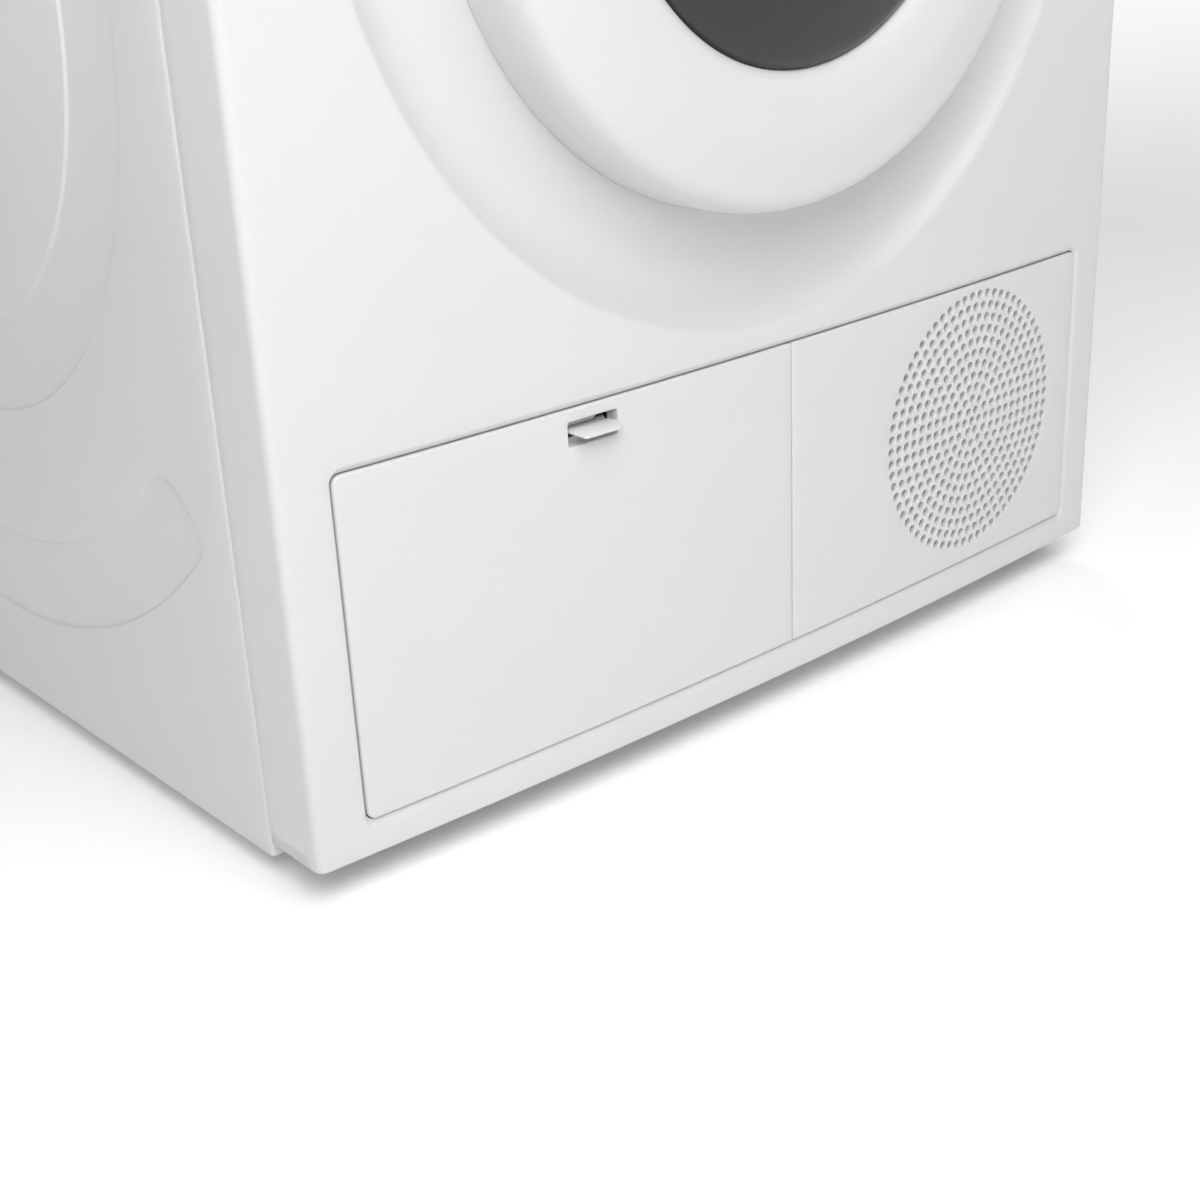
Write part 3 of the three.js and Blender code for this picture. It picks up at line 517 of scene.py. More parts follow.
def dish_rows():
    """Loops from the dish's rim in to the door opening and its flange."""
    floor = FRONT + DISH_DEPTH
    turns = np.linspace(0, 2 * math.pi, 240, endpoint=False)

    def loop(r, y):
        xs = r * np.cos(turns)
        return np.column_stack([xs, y(xs), DOOR_Z + r * np.sin(turns)])

    rows = []
    runs = [-7, -4, -2.6, -1.7, -1.0, -0.4, 0.2, 0.8, 1.6, 2.6, 4, 6, 8.5, 11, 14, 17, 20, 23, 26, DISH_RUN]
    for run in runs:
        soft = 0.9 * math.log1p(math.exp(run / 0.9)) if run < 20 else run
        share = min(1.0, soft / DISH_RUN)
        deep = 1 - (1 - share) ** 2.7
        rows.append(loop(DISH_R - run, lambda xs: front_y(xs) + (floor - front_y(xs)) * deep))
    for r in (205, 190, APERTURE_R + 2.0):
        rows.append(loop(r, lambda xs: xs * 0 + floor))
    for r, back in ((APERTURE_R + 0.8, 0.3), (APERTURE_R + 0.2, 1.0), (APERTURE_R, 2.2), (APERTURE_R, 8.0)):
        rows.append(loop(r, lambda xs: xs * 0 + floor + back))
    return rows


def front_panel():
    skin = Skin()
    z0, z1 = FRONT_LOW[2] + 1.5, FRONT_HIGH[2]
    outer, levels = sheet_outline(z0, z1)
    even = round_rect(*RECESS, RECESS_R)

    def recess(out):
        """The bevel is narrower on the left and right than above, and wider below."""
        half = RECESS_SIDE + BEVEL_SIDE_SHARE * out
        line = even(out) * [half / (RECESS[1] + out), 1]
        lower = line[:, 1] < (RECESS[2] + RECESS[3]) / 2
        line[lower, 1] -= RECESS_DROP * max(0.0, 1 + out / BEVEL_WIDTH)
        return line

    bevel = [(0.8, 0.0), (0.2, 0.12), (-0.4, 0.5), (-2.5, 2.35), (-BEVEL_WIDTH, 2.75), (-2.6, 3.4),
             (-1.6, 6.0), (-1.0, 14.0)]
    dish = dish_rows()
    skin.fill(outer, [recess(bevel[0][0]), dish[0][:, [0, 2]]], on_bow(0))
    skin.rows([on_bow(back)(recess(out)) for out, back in bevel], closed=True)
    skin.rows(dish, closed=True)
    wrap_sides(skin, levels)
    turned_in_edge(skin, z0, 1, 16)
    skin.piece("front_sheet", ENAMEL, "cabinet", "front_panel", weld=SHEET_WELD, facing=FORWARD, wall=0.9)


# ---- side panels ----
PRESS_DEPTH = 1.5
PRESS_Y = (SIDE_LOW[1] + SIDE_HIGH[1]) / 2 - 5
PRESS_Z = (SIDE_LOW[2] + SIDE_HIGH[2]) / 2
PRESS_WALL = [(1.1, 0.0), (0.7, 0.07), (0.25, 0.4), (-0.25, 1.1), (-0.7, 1.43), (-1.2, PRESS_DEPTH)]
ARC_R = 316.5              # middle line of the two pressed arcs
ARC_SPAN = 89.4
ARC_HALF_WIDTH = 23.5
RING_OUTER_R = 221
RING_INNER_R = 174


def bent(outline, radius, middle):
    """Bends an outline drawn round (0, 0) along an arc of the panel's pressing."""
    def loop(out=0.0):
        flat = outline(out)
        turn = np.radians(middle) + flat[:, 0] / radius
        reach = radius + flat[:, 1]
        return np.column_stack([PRESS_Y + reach * np.cos(turn), PRESS_Z + reach * np.sin(turn)])
    return loop


def side_panel(side):
    skin = Skin()
    name = "side_panel_left" if side < 0 else "side_panel_right"

    def lift(back):
        return lambda p: np.column_stack([np.full(len(p), side * (HALF - back)), p[:, 0], p[:, 1]])

    edge = round_rect(SIDE_LOW[1], SIDE_HIGH[1], SIDE_LOW[2], SIDE_HIGH[2], 3.5, step=14)
    reach = ARC_R * math.radians(ARC_SPAN) / 2
    arcs = []
    for middle in (90, 270):
        strip = round_rect(-reach, reach, -ARC_HALF_WIDTH, ARC_HALF_WIDTH, [11, 11, 21, 21], step=5, corner=9)
        arcs.append((bent(strip, ARC_R, middle), PRESS_WALL, True))
    outer_ring = circle(PRESS_Y, PRESS_Z, RING_OUTER_R, 200)
    inner_ring = circle(PRESS_Y, PRESS_Z, RING_INNER_R, 200)
    holes = arcs + [(outer_ring, PRESS_WALL, False)]
    bow_plate(skin, edge, 0, 20.0, 2.6, holes, lift, step=22)
    flat = PRESS_WALL[-1]
    rings = [lift(flat[1])(outer_ring(flat[0]))]
    rings += [lift(back)(inner_ring(-out)) for out, back in reversed(PRESS_WALL)]
    skin.rows(rings, closed=True)
    skin.cap(rings[-1])
    skin.piece(name + "_sheet", ENAMEL, "cabinet", name, weld=SHEET_WELD, facing=(side, 0, 0), wall=0.9)


# ---- plinth: flap, lever, grille ----
LEVER_X = -127.0
LEVER_Z = 195.5
POCKET = (LEVER_X - 14.6, LEVER_X + 16.2, LEVER_Z - 6.25, LEVER_Z + 6.25)
HOUSING_BACK = -273.2
PIVOT = (-272.0, 60.0)          # the flap's hinge line, y and z
PIN_R = 2.6
FLAP_X = (-270.0, 10.5)
RIB_HALF = 1.2                  # half the thickness of the flap's ribs
RIB_Z = (62, 120, 178)


def plinth_outline(x0, x1, rounds):
    return round_rect(x0, x1, GRILLE_LOW[2], GRILLE_HIGH[2], rounds)


def service_flap():
    """Pressed door of the heat exchanger, with its latch housing, ribs and hinge pins moulded on the back."""
    back = 4.0                  # the face's thickness
    wall, cavity = 6.7, (7.9, 10.8)
    skin = Skin()
    outline = plinth_outline(*FLAP_X, [1.2, 4.5, 4.5, 1.2])
    pocket = round_rect(*POCKET, 1.6, step=3)
    corners = [(15.9, 4.3), (8.5, 4.3), (6.5, 2.1), (-12.4, 2.1), (-12.4, -3.9), (15.9, -3.9)]
    slot = polygon(np.array(corners) + [LEVER_X, LEVER_Z])
    arm_slot = round_rect(LEVER_X - 7, LEVER_X + 7, LEVER_Z - 3, LEVER_Z + 3, 0.5, step=3)
    housing = round_rect(LEVER_X - 20, LEVER_X + 20, LEVER_Z - 10.7, LEVER_Z + 10.3, 1.0, step=5)
    inner = round_rect(LEVER_X - 17.5, LEVER_X + 17.5, LEVER_Z - 8.2, LEVER_Z + 8.2, 0.6, step=5)
    tunnel = [(0.7, 0.0), (0.25, 0.12), (0.0, 0.5), (0.0, wall)]
    bow_plate(skin, outline, RECESS_STEP, back, 1.3, [(pocket, tunnel, False)])
    close_back(skin, outline, RECESS_STEP, back, [housing()])
    end = HOUSING_BACK - front_y(LEVER_X) - RECESS_STEP

    def lift(depth):
        return on_bow(RECESS_STEP + depth)

    skin.rows([lift(back)(housing()), lift(end - 0.5)(housing()), lift(end)(housing(-0.5))], closed=True)
    skin.fill(pocket(), [slot()], lift(wall), 3)
    skin.rows([lift(wall)(slot()), lift(cavity[0])(slot())], closed=True)
    skin.fill(housing(-0.5), [arm_slot()], lift(end), 6)
    # Slot 1 (black) lines the cavity behind the lever's slot and the arm's slot: painted shade, standing for
    # the dark interior seen through the gaps.
    skin.slot = 1
    skin.fill(inner(), [slot()], lift(cavity[0]), 4)
    skin.rows([lift(cavity[0])(inner()), lift(cavity[1])(inner())], closed=True)
    skin.fill(inner(), [arm_slot()], lift(cavity[1]), 4)
    skin.rows([lift(cavity[1])(arm_slot()), lift(end)(arm_slot())], closed=True)
    skin.slot = 0
    pivot_y, pivot_z = PIVOT
    for x0, x1 in ((-268.5, -262.5), (4.0, 10.0)):
        root = front_y(x0) + RECESS_STEP + 2.5
        tip = arc_points(pivot_y, pivot_z, 6, -90, 90, 9)
        ear = polygon([*tip, (root, pivot_z + 6), (root, pivot_z - 6)])
        slab(skin, ear, ALONG_X, x0, x1, 0.5)
    for x0, x1 in ((-279.8, -267), (9, 17.4)):
        slab(skin, circle(pivot_y, pivot_z, PIN_R, 24), ALONG_X, x0, x1, 0.4)
    for x in (-200, -130, -60):
        rib = round_rect(x - RIB_HALF, x + RIB_HALF, RIB_Z[0], RIB_Z[-1], 1, step=30)
        slab(skin, rib, ALONG_Y, front_y(x) + 4, front_y(x) + 11, 0.8, 0.5)
    for z in RIB_Z:
        rib = round_rect(-246, -12, z - RIB_HALF, z + RIB_HALF, 1, step=18)
        slab(skin, rib, lift, back - 0.8, back + 6.5, 0.8, 0.5)
    skin.piece("flap_shell", [PLASTIC, BLACK], "flap", "service_flap", weld=SHEET_WELD)


def latch_lever():
    """Thin tongue with a cut corner that slopes out of its pocket, and the arm that holds the catch."""
    low, high = box_mm("latch_lever")
    tip, root, half, cut, slope = low[1], -276.2, 13.2, 3.2, 0.09
    middle, z = LEVER_X + 2.4, LEVER_Z + 0.3
    left, right = middle - half, middle + half
    plan = [(right - 8, root), (left - 2.2, root), (left - 2.2, root - 1.5), (left + 0.4, tip + 0.8),
            (right - 1.2 * cut, tip), (right, tip + 0.9 * cut), (right, tip + 8.5), (right - 8, root)]
    outline = polygon(smooth_line(plan, 1.5)[:-1])

    def loop(out, dz):
        moved = outline(out)
        return np.column_stack([moved, z + dz + (moved[:, 1] - tip) * slope])

    skin = Skin()
    edge = [(-0.9, 0.0), (-0.35, -0.12), (0.0, -0.6), (0.0, -1.3), (-0.5, -1.8), (-1.2, -1.9)]
    rows = [loop(out, dz) for out, dz in edge]
    skin.rows(rows, closed=True)
    skin.cap(rows[0])
    skin.cap(rows[-1])
    back = high[1]
    arm = [(root - 2, LEVER_Z - 0.4), (back, LEVER_Z - 0.8), (back, high[2]), (back - 3, high[2]),
           (back - 3, LEVER_Z + 1.4), (root - 2, LEVER_Z + 1.4)]
    slab(skin, polygon(arm), ALONG_X, LEVER_X - 6, LEVER_X + 6, 0.3)
    slab(skin, circle(root - 0.8, LEVER_Z, 1.8, 20), ALONG_X, LEVER_X - 12, LEVER_X + 14.4, 0.3)
    skin.piece("lever_tongue", PLASTIC, "lever", "latch_lever")


def hexapolar(x, z, pitch, rings):
    """Centres of a round field: ring k holds 6 k points."""
    spots = [(x, z)]
    for k in range(1, rings + 1):
        for i in range(6 * k):
            turn = math.pi * i / (3 * k)
            spots.append((x + k * pitch * math.cos(turn), z + k * pitch * math.sin(turn)))
    return spots


VENT = (168.9, 125.9)           # centre of the round field of holes
VENT_PITCH = 6.86
VENT_RINGS = 11
VENT_HOLE_R = 2.62
STUD_BACK = -268.4              # the grille's studs reach back to here


def vent_grille():
    skin = Skin()
    outline = plinth_outline(GRILLE_LOW[0], GRILLE_HIGH[0], [4.5, 1.2, 1.2, 4.5])
    rim = [(0.45, 0.0), (0.2, 0.07), (0.0, 0.3), (-0.12, 0.8), (-0.2, 4.0)]
    field = hexapolar(*VENT, VENT_PITCH, VENT_RINGS)
    holes = [(circle(x, z, VENT_HOLE_R, 14), rim, False) for x, z in field]
    bow_plate(skin, outline, RECESS_STEP, rim[-1][1], 1.3, holes)
    close_back(skin, outline, RECESS_STEP, rim[-1][1], [hole(rim[-1][0]) for hole, _, _ in holes])
    for x, z in ((22, 52), (22, 196), (256, 52), (256, 196)):
        stud = round_rect(x - 3, x + 3, z - 3, z + 3, 1, step=3)
        slab(skin, stud, ALONG_Y, front_y(x) + 5, STUD_BACK, 0.6)
    skin.piece("grille_shell", PLASTIC, "cabinet", "vent_grille", weld=SHEET_WELD)
    # Black disc a little behind the holes: painted shade, standing for the dark interior seen through the
    # holes.
    backing = Skin()
    disc = circle(*VENT, 84, 64)
    faces = [on_bow(RECESS_STEP + depth) for depth in (4.3, 6.3)]
    for face in faces:
        backing.fill(disc(), [], face, 12)
    backing.rows([face(disc()) for face in faces], closed=True)
    backing.piece("grille_painted_shade_disc", BLACK, "cabinet")


# ---- fascia, keys, tank front, worktop ----
KEYS = ("power_key", "start_key", "option_key")
KEY_FLANGE = 1.5           # the hidden flange of a key is this much wider than its cap
TICK_R = 32                # the dial's marks start here


def control_fascia():
    skin = Skin()
    z0, z1 = FASCIA_LOW[2], FASCIA_HIGH[2]
    outer, levels = sheet_outline(z0 + 0.8, z1)
    holes = []
    for node, gap in (("tank_front", 0.6), ("display_window", 0.3)):
        low, high = box_mm(node)
        holes.append(round_rect(low[0] - gap, high[0] + gap, low[2] - gap, high[2] + gap, 3))
    for key in KEYS:
        low, high = box_mm(key)
        x, _, z = (low + high) / 2
        holes.append(circle(x, z, (high[0] - low[0]) / 2 - KEY_FLANGE + 0.6, 48))
    centre = sum(box_mm("program_dial"))[2] / 2
    holes.append(circle(0, centre, 8, 32))
    rim = [(0.6, 0.0), (0.2, 0.15), (0.0, 0.6), (0.0, 8.0)]
    skin.fill(outer, [hole(0.6) for hole in holes], on_bow(0))
    for hole in holes:
        skin.rows([on_bow(back)(hole(out)) for out, back in rim], closed=True)
    wrap_sides(skin, levels)
    turned_in_edge(skin, z0 + 0.8, 0.5, 8)
    skin.piece("fascia_shell", PLASTIC, "cabinet", "control_fascia", weld=SHEET_WELD, facing=FORWARD,
               wall=2.4)
    ticks = Skin()
    for i in range(17):
        turn = math.radians(-150 + 18.75 * i + 90)
        across = np.array([-math.sin(turn), math.cos(turn)]) * 0.35
        along = np.array([math.cos(turn), math.sin(turn)])
        near = along * TICK_R
        far = along * (TICK_R + (3.4 if i % 4 == 0 else 2.0))
        flat = np.array([near - across, near + across, far + across, far - across]) + [0, centre]
        rows = [on_bow(0.05)(flat), on_bow(-0.05)(flat)]
        ticks.rows(rows, closed=True)
        ticks.cap(rows[1])
    ticks.piece("dial_marks", PRINT, "cabinet")


def keys():
    for key in KEYS:
        low, high = box_mm(key)
        x, _, z = (low + high) / 2
        r, y = (high[0] - low[0]) / 2 - KEY_FLANGE, low[1]
        rim = r + KEY_FLANGE
        profile = [(0, y + 0.7), (r * 0.5, y + 0.55), (r - 1.6, y + 0.05), (r - 0.7, y), (r - 0.15, y + 0.45),
                   (r, y + 1.2), (r, y + 7.6), (rim, y + 7.6), (rim, y + 9.1), (0, y + 9.1)]
        turned_piece(key + "_cap", x, z, profile, PLASTIC, key, key, 48, close=False)


def program_dial():
    low, high = box_mm("program_dial")
    z = (low[2] + high[2]) / 2
    y, back = low[1], FRONT - 0.3
    skin = Skin()
    count = 144
    turns = np.linspace(0, 2 * math.pi, count, endpoint=False)
    flute = 0.45 * np.clip(np.cos(turns * 24), -0.2, 1)
    rows = []
    profile = [(0, y + 0.6, 0), (15, y + 0.6, 0), (19, y + 0.2, 0), (21.3, y, 0), (22.6, y + 0.8, 0.4),
               (23.3, y + 2.4, 1), (24.6, y + 15, 1), (25.0, y + 17.5, 0.3), (26.5, y + 18.6, 0),
               (27.6, y + 19.4, 0), (28, y + 20.4, 0), (28, back, 0), (5, back, 0), (5, high[1], 0),
               (0, high[1], 0)]
    for r, depth, cut in profile:
        radius = np.maximum(r - flute * cut, 0)
        across, up = radius * np.cos(turns), radius * np.sin(turns)
        rows.append(np.column_stack([across, np.full(count, depth), z + up]))
    skin.rows(rows, closed=True)
    skin.piece("dial_knob", PLASTIC, "dial", "program_dial")
    mark = Skin()
    outline = round_rect(-0.9, 0.9, z + 9, z + 19, 0.8, step=4)
    lift = on_plane(1, start=y)
    mark.rows([lift(0.9)(outline()), lift(0.1)(outline()), lift(0)(outline(-0.2))], closed=True)
    mark.cap(lift(0)(outline(-0.2)))
    mark.piece("dial_pointer", BLACK, "dial")


def tank_front():
    low, high = box_mm("tank_front")
    skin = Skin()
    outline = round_rect(low[0], high[0], low[2], high[2], 3)
    scoop = round_rect(low[0] + 40, high[0] - 30, low[2] + 4, low[2] + 26, 5, step=6)
    rows = [(1.6, 0.0), (0.6, 0.25), (0.0, 1.0), (-0.6, 10.0), (-3.0, 13.6), (-6.0, 14.4)]
    thick = 18.0

    def lift(depth):
        return ALONG_Y(high[1]) if depth == thick else on_bow(depth)

    bow_plate(skin, outline, 0, thick, 1.0, [(scoop, rows, True)], lift)
    close_back(skin, outline, 0, thick, (), lift)
    skin.piece("tank_face", PLASTIC, "tank", "tank_front", weld=SHEET_WELD)


def display_window():
    low, high = box_mm("display_window")
    skin = Skin()
    outline = round_rect(low[0], high[0], low[2], high[2], 3, step=6)
    bow_plate(skin, outline, 0.35, 5.0, 0.5)
    close_back(skin, outline, 0.35, 5.0)
    skin.piece("display_pane", SCREEN, "cabinet", "display_window", weld=SHEET_WELD)


def worktop():
    skin = Skin()
    plan = round_rect(TOP_LOW[0], TOP_HIGH[0], TOP_LOW[1], TOP_HIGH[1], 8, step=40, corner=9)

    def at(z, out):
        loop = plan(out)
        return np.column_stack([loop, np.full(len(loop), z)])

    base, top = TOP_LOW[2], TOP_HIGH[2]
    rows = [at(base, -1.2), at(base + 0.3, -0.4), at(base + 1.2, 0), at(base + 9.2, 0), at(base + 9.7, -0.5),
            at(base + 10.3, -0.5), at(base + 10.8, 0)]
    for turn in np.linspace(0, math.pi / 2, 7):
        rows.append(at(top - 4 + 4 * math.sin(turn), -4 + 4 * math.cos(turn)))
    skin.rows(rows, closed=True)
    skin.cap(rows[0])
    skin.cap(rows[-1])
    skin.piece("worktop_slab", PLASTIC, "cabinet", "worktop")


# ---- door and drum ----
def door():
    f, b = RING_LOW[1], RING_HIGH[1]
    low, high = box_mm("door_window")
    w, g = high[0], low[1]
    outer = smooth_line([(DOOR_R, b), (DOOR_R, f + 15), (DOOR_R - 5, f + 4.5), (155, f), (w + 6, f + 1.5),
                         (w + 0.4, f + 6), (w + 0.4, f + 12)], 7, 7)
    inner = smooth_line([(w + 3, f + 12), (150, f + 5), (DOOR_R - 10, f + 8), (DOOR_R - 4, f + 16),
                         (DOOR_R - 4, b)], 5)
    turned_piece("door_shell", 0, DOOR_Z, [*outer, *inner], PLASTIC, "door", "door_ring", 160)
    front = smooth_line([(0, g), (50, g + 1.1), (95, g + 6), (w - 4, g + 11), (w, g + 14), (w, g + 17)], 6)
    back = smooth_line([(w - 4, g + 16), (92, g + 10), (50, g + 5), (0, g + 4)], 6)
    turned_piece("window_pane", 0, DOOR_Z, [*front, *back], SMOKED, "door", "door_window", 128, close=False)
    low, high = box_mm("door_inner_frame")
    r, y0, y1 = high[0], low[1], high[1]
    profile = [(124, y0), (r, y0), (r, y0 + 3.7), (166, y0 + 3.7), (166, y1 - 1), (165, y1), (161.5, y1),
               (160.5, y1 - 1), (160.5, y0 + 3.7), (125, y0 + 3.7), (124, y0 + 2.5)]
    turned_piece("inner_frame", 0, DOOR_Z, profile, PLASTIC, "door", "door_inner_frame", 128, 0.9)
    d = box_mm("door_bowl")[1][1]
    profile = [(0, d), (70, d - 2), (118, d - 12), (138, d - 22), (148, d - 31), (160, d - 33), (160, d - 36),
               (145, d - 36), (133, d - 26), (114, d - 17), (70, d - 7.5), (0, d - 5)]
    turned_piece("bowl_glass", 0, DOOR_Z, profile, CLEAR, "door", "door_bowl", 128, 9, close=False)
    low, high = box_mm("door_seal")
    s, thick = (low[1] + high[1]) / 2, (high[1] - low[1]) / 2
    turns = np.linspace(0, 2 * math.pi, 12, endpoint=False)
    lip = [(180.2 + 3.8 * math.cos(t), s + thick * math.sin(t)) for t in turns]
    turned_piece("seal_ring", 0, DOOR_Z, lip, SEAL, "door", "door_seal", 128)


def drum():
    low, high = DRUM_LOW, DRUM_HIGH
    z = (low[2] + high[2]) / 2
    r = high[0]

    def beaded(radius, steps):
        """The wall's line along Y with three shallow inward beads."""
        beads = [sum(2.2 * math.exp(-((y - middle) / 5.0) ** 2) for middle in (-120, -5, 110)) for y in steps]
        return [(radius - bead, y) for bead, y in zip(beads, steps)]

    ys = np.arange(low[1] + 4, high[1] + 0.1, 4.0)
    lip = [(r - 1.4, low[1] + 3), (r - 2.4, low[1] + 2.2), (r - 2.4, low[1] + 0.6), (r - 1.4, low[1]),
           (r - 0.3, low[1] + 0.2)]
    profile = [(r, low[1] + 1.2), *beaded(r, ys), *beaded(r - 1.4, ys)[::-1], *lip]
    turned_piece("drum_sheet", 0, z, profile, STEEL, "drum", "drum_shell", 144)
    wall_low, wall_high = box_mm("drum_rear_wall")
    q, y = wall_high[0], wall_low[1]
    lift = on_plane(1, start=y)
    skin = Skin()
    field = [c for c in hexapolar(0, z, 16, 12) if math.hypot(c[0], c[1] - z) > 56]
    holes = [circle(x, hole_z, 4.2, 12) for x, hole_z in field]
    disc = circle(0, z, 206, 144)
    skin.fill(disc(), [hole(0.5) for hole in holes], lift(0), 24)
    for hole in holes:
        skin.rows([lift(0)(hole(0.5)), lift(0.12)(hole(0.15)), lift(0.5)(hole())], closed=True)
    rim = smooth_line([(206, 0), (212, 1), (218, 9), (q - 4, 10), (q, 11), (q, 13)], 3, 4)
    skin.rows([lift(depth)(circle(0, z, radius, 144)()) for radius, depth in rim], closed=True)
    skin.piece("drum_back", STEEL, "drum", "drum_rear_wall", weld=SHEET_WELD, facing=FORWARD, wall=1.4)


# ---- back, feet ----
def screws(name, places, lift):
    """Pan-head screws with a cross slot, standing on a surface."""
    skin = Skin()
    for place in places:
        turn = math.radians(17 * sum(place))
        head = ((4.0, -0.4), (4.0, 0.6), (3.7, 1.3), (2.9, 1.8), (1.9, 2.05))
        skin.rows([lift(-height)(circle(*place, radius, 24)()) for radius, height in head], closed=True)
        turns = turn + np.arange(24) * math.pi / 12
        reach = np.where(np.arange(24) % 6 < 2, 1.9, 0.75)
        cross = np.column_stack([place[0] + reach * np.cos(turns), place[1] + reach * np.sin(turns)])
        top = lift(-2.05)(circle(*place, 1.9, 24)())
        skin.rows([top, lift(-2.05)(cross), lift(-1.1)(cross)], closed=True)
        skin.cap(lift(-1.1)(cross))
    skin.piece(name, ZINC, "cabinet")


def rear_panel():
    low, high = box_mm("rear_panel")
    lift = on_plane(1, sign=-1, start=high[1])
    press = [(1.6, 0.0), (1.0, -0.25), (0.3, -1.1), (-0.6, -1.9), (-1.6, -2.1)]
    edge = round_rect(low[0], high[0], low[2], high[2], 3, step=24)
    louvres = [round_rect(90, 230, 60 + 16 * i, 67 + 16 * i, 3.4, step=12) for i in range(7)]
    duct = circle(0, box_mm("rear_duct_cover")[1][2] - 181, 150, 96)
    inlet_x, _, inlet_z = sum(box_mm("cable_inlet")) / 2
    inlet = circle(inlet_x, inlet_z, 11, 32)
    beads = [round_rect(-270, -222, 60, 760, 20, step=20), round_rect(222, 270, 200, 690, 20, step=20),
             round_rect(-180, 180, 700, 760, 20, step=20), round_rect(-180, 60, 44, 110, 20, step=20)]
    lip = [(1.4, 0.0), (0.7, -0.2), (0.2, -0.8), (0.0, -1.6)]
    hem = [(0.8, 0.0), (0.2, 0.2), (0.0, 0.8), (0.0, 2.2)]
    holes = [(loop, lip, False) for loop in louvres] + [(duct, hem, False), (inlet, hem, False)]
    holes += [(loop, press, True) for loop in beads]
    skin = Skin()
    bow_plate(skin, edge, 0, 2.6, 0.9, holes, lift, step=26)
    skin.piece("rear_sheet", ZINC, "cabinet", "rear_panel", weld=SHEET_WELD, facing=BACKWARD, wall=0.8)
    places = [(x, z) for x in (-288, 288) for z in (30, 180, 330, 480, 630, 790)]
    places += [(x, z) for x in (-150, 0, 150) for z in (24, 792)]
    screws("rear_screws", places, lift)


def rear_duct_cover():
    """Shallow pressed cover, round above and square below, with a flange that is screwed down."""
    low, high = box_mm("rear_duct_cover")
    r, foot = high[0] - 9, low[2] + 9
    z = high[2] - high[0]
    side = r * math.cos(math.radians(40))
    lift = on_plane(1, sign=-1, start=high[1])
    arc_line = arc_points(0, z, r, -36, 216, 70)
    down_left = spaced(arc_line[-1], (-side, foot + 14), 14)[1:-1]
    corner_left = arc_points(-side + 14, foot + 14, 14, 180, 270, 6)
    bottom = spaced(corner_left[-1], (side - 14, foot), 14)[1:-1]
    corner_right = arc_points(side - 14, foot + 14, 14, 270, 360, 6)
    up_right = spaced(corner_right[-1], arc_line[0], 14)[1:-1]
    outline = polygon(np.vstack([arc_line, down_left, corner_left, bottom, corner_right, up_right]))
    deep = high[1] - low[1]
    skin = Skin()
    rows = [lift(deep)(outline(9)), lift(deep - 0.9)(outline(8.6)), lift(deep - 1.2)(outline(2.0)),
            lift(deep - 2.2)(outline(0.4))]
    for turn in np.linspace(0, math.pi / 2, 7):
        rows.append(lift(7 * (1 - math.sin(turn)))(outline(-7 * (1 - math.cos(turn)))))
    rows += [lift(0)(outline(-16)), lift(1.4)(outline(-18)), lift(1.6)(outline(-20))]
    skin.rows(rows, closed=True)
    skin.fill(outline(-20), [], lift(1.6), 26)
    skin.piece("duct_sheet", ZINC, "cabinet", "rear_duct_cover", weld=SHEET_WELD, facing=BACKWARD, wall=0.8)
    flange = on_plane(1, sign=-1, start=low[1] + 1.2)
    bolts = r + 4.6
    turns = np.radians([-20, 20, 60, 90, 120, 160, 200])
    places = [(bolts * math.cos(t), z + bolts * math.sin(t)) for t in turns]
    screws("duct_screws", places + [(-100, foot - 4.5), (100, foot - 4.5)], flange)


def turned_z(skin, x, y, profile, count):
    """Turned about a vertical line; profile is (radius, z)."""
    turns = np.linspace(0, 2 * math.pi, count, endpoint=False)
    skin.rows([np.column_stack([x + r * np.cos(turns), y + r * np.sin(turns), np.full(count, height)])
               for r, height in profile], closed=True)


def levelling_feet():
    for place in ("front_left", "front_right", "rear_left", "rear_right"):
        node = "foot_" + place
        low, high = box_mm(node)
        x, y, r = (low[0] + high[0]) / 2, (low[1] + high[1]) / 2, (high[0] - low[0]) / 2
        skin = Skin()
        pad = [(0, 0.4), (r - 7, 0.4), (r - 6, 0), (r - 2.4, 0), (r - 0.6, 0.8), (r, 2.4), (r - 0.5, 4.4),
               (r - 2.2, 5.7), (12, 6.6), (0, 6.8)]
        turned_z(skin, x, y, pad, 48)
        skin.piece(node + "_pad", PALE_RUBBER, node, node, slot="rubber")
        stem = Skin()
        nut = polygon([(x + 9 * math.cos(a), y + 9 * math.sin(a)) for a in np.radians(np.arange(0, 360, 60))])
        slab(stem, nut, ALONG_Z, 6.2, 11, 0.6)
        thread = []
        for i in range(19):
            thread += [(5.0, 11 + i), (4.5, 11.5 + i)]
        turned_z(stem, x, y, [(0, 10), (5.0, 10), *thread, (4.2, high[2]), (0, high[2])], 24)
        stem.piece(node + "_stem", ZINC, node)


# ---- the CAD nodes that stay ----
EDGE = 0.6                 # softened edge of a kept node, unless it is named here
WIDE_EDGES = {"drum_lifter_1": 5.0, "drum_lifter_2": 5.0, "drum_lifter_3": 5.0, "base_tray": 1.2,
              "motor": 1.5, "fan_housing": 1.5, "condensate_pump": 2.0, "condensate_tank": 1.2}


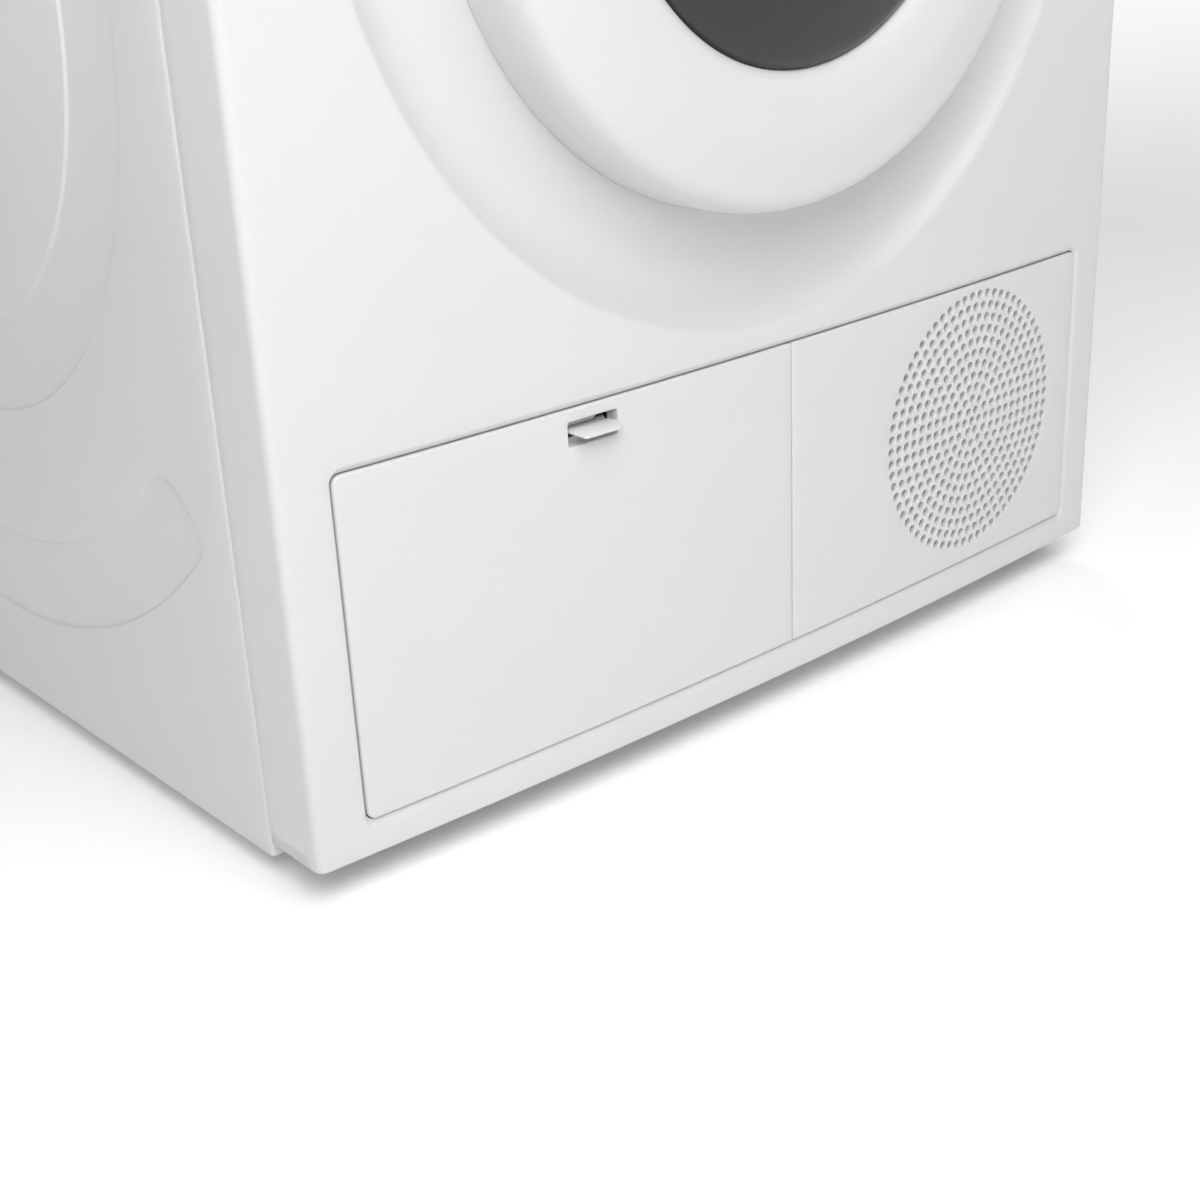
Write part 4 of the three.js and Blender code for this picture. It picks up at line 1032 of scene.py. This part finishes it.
def finish_kept_nodes():
    """Every CAD node still showing gets its own finish, welded and with softened edges."""
    slots = {row["node"]: row["material_slot"] for row in frame["record"]["subparts"]}
    for name, node in frame["nodes"].items():
        if node.hide_render:
            continue
        mesh = node.data
        mesh.materials.clear()
        mesh.materials.append(MATERIAL_OF_SLOT[slots[name]])
        if "custom_normal" in mesh.attributes:
            mesh.attributes.remove(mesh.attributes["custom_normal"])
        mesh.polygons.foreach_set("use_smooth", [True] * len(mesh.polygons))
        weld = node.modifiers.new("weld", "WELD")
        weld.merge_threshold = 0.00002
        soft = node.modifiers.new("edges", "BEVEL")
        soft.width = WIDE_EDGES.get(name, EDGE) * MM
        soft.segments = 2
        soft.limit_method = "ANGLE"
        soft.angle_limit = math.radians(38)
        soft.use_clamp_overlap = True
        even = node.modifiers.new("shading", "WEIGHTED_NORMAL")
        even.keep_sharp = False


# ---- floor and light ----
def fade(nodes, reach, levels):
    """Map Range node from one level to another over a reach."""
    node = nodes.new("ShaderNodeMapRange")
    node.inputs["From Min"].default_value, node.inputs["From Max"].default_value = reach
    node.inputs["To Min"].default_value, node.inputs["To Max"].default_value = levels
    return node


FLOOR_REACH = 30.0
FLOOR_GLOW = ((1.2, 4.5), (0.12, 0.8))      # distances from the object, and the floor's own light there
SKY_GLOW = ((0.0, 0.35), (0.75, 0.14))      # heights of the view, and the sky's light there
# name, place, aimed at, size, power
LIGHTS = [
    ("key", (-0.84, -1.15, 1.2), (-0.1, -0.3, 0.2), 0.9, 16.2),
    ("top", (-0.2, -1.7, 2.8), (0.0, -0.6, 0.0), 2.2, 39),
    ("back", (1.6, 2.6, 2.2), (0.0, 0.3, 0.4), 1.5, 34),
]


def studio():
    """Pale floor that grows lighter away from the object, a sky light from the horizon, three soft lights."""
    floor_mesh = bpy.data.meshes.new("floor")
    corners = [(x * FLOOR_REACH, y * FLOOR_REACH, 0) for x, y in ((-1, -1), (1, -1), (1, 1), (-1, 1))]
    floor_mesh.from_pydata(corners, [], [(0, 1, 2, 3)])
    floor = bpy.data.objects.new("floor", floor_mesh)
    bpy.context.scene.collection.objects.link(floor)
    paper = material("studio_paper", (0.95, 0.95, 0.95), 0.8, grain=(8, 0.0002), tint=0.004, patches=1.5)
    paper.node_tree.nodes["Principled BSDF"].inputs["Emission Color"].default_value = (1, 1, 1, 1)
    nodes, links = paper.node_tree.nodes, paper.node_tree.links
    place = nodes.new("ShaderNodeTexCoord")
    distance = nodes.new("ShaderNodeVectorMath")
    distance.operation = "LENGTH"
    glow = fade(nodes, *FLOOR_GLOW)
    links.new(place.outputs["Object"], distance.inputs[0])
    links.new(distance.outputs["Value"], glow.inputs["Value"])
    links.new(glow.outputs["Result"], nodes["Principled BSDF"].inputs["Emission Strength"])
    floor_mesh.materials.append(paper)
    world = bpy.data.worlds.new("studio")
    world.use_nodes = True
    nodes, links = world.node_tree.nodes, world.node_tree.links
    nodes["Background"].inputs["Color"].default_value = (1, 1, 1, 1)
    place = nodes.new("ShaderNodeTexCoord")
    height = nodes.new("ShaderNodeSeparateXYZ")
    sky = fade(nodes, *SKY_GLOW)
    links.new(place.outputs["Generated"], height.inputs["Vector"])
    links.new(height.outputs["Z"], sky.inputs["Value"])
    links.new(sky.outputs["Result"], nodes["Background"].inputs["Strength"])
    bpy.context.scene.world = world
    for name, place, aim, width, power in LIGHTS:
        data = bpy.data.lights.new(name, "AREA")
        data.size = width
        data.energy = power
        light = bpy.data.objects.new(name, data)
        light.location = place
        light.rotation_euler = (Vector(aim) - Vector(place)).to_track_quat("-Z", "Y").to_euler()
        bpy.context.scene.collection.objects.link(light)
    bpy.context.scene.view_settings.view_transform = "Standard"


make_camera()
front_panel()
side_panel(-1)
side_panel(1)
service_flap()
latch_lever()
vent_grille()
control_fascia()
keys()
program_dial()
tank_front()
display_window()
worktop()
door()
drum()
rear_panel()
rear_duct_cover()
levelling_feet()
finish_kept_nodes()
studio()
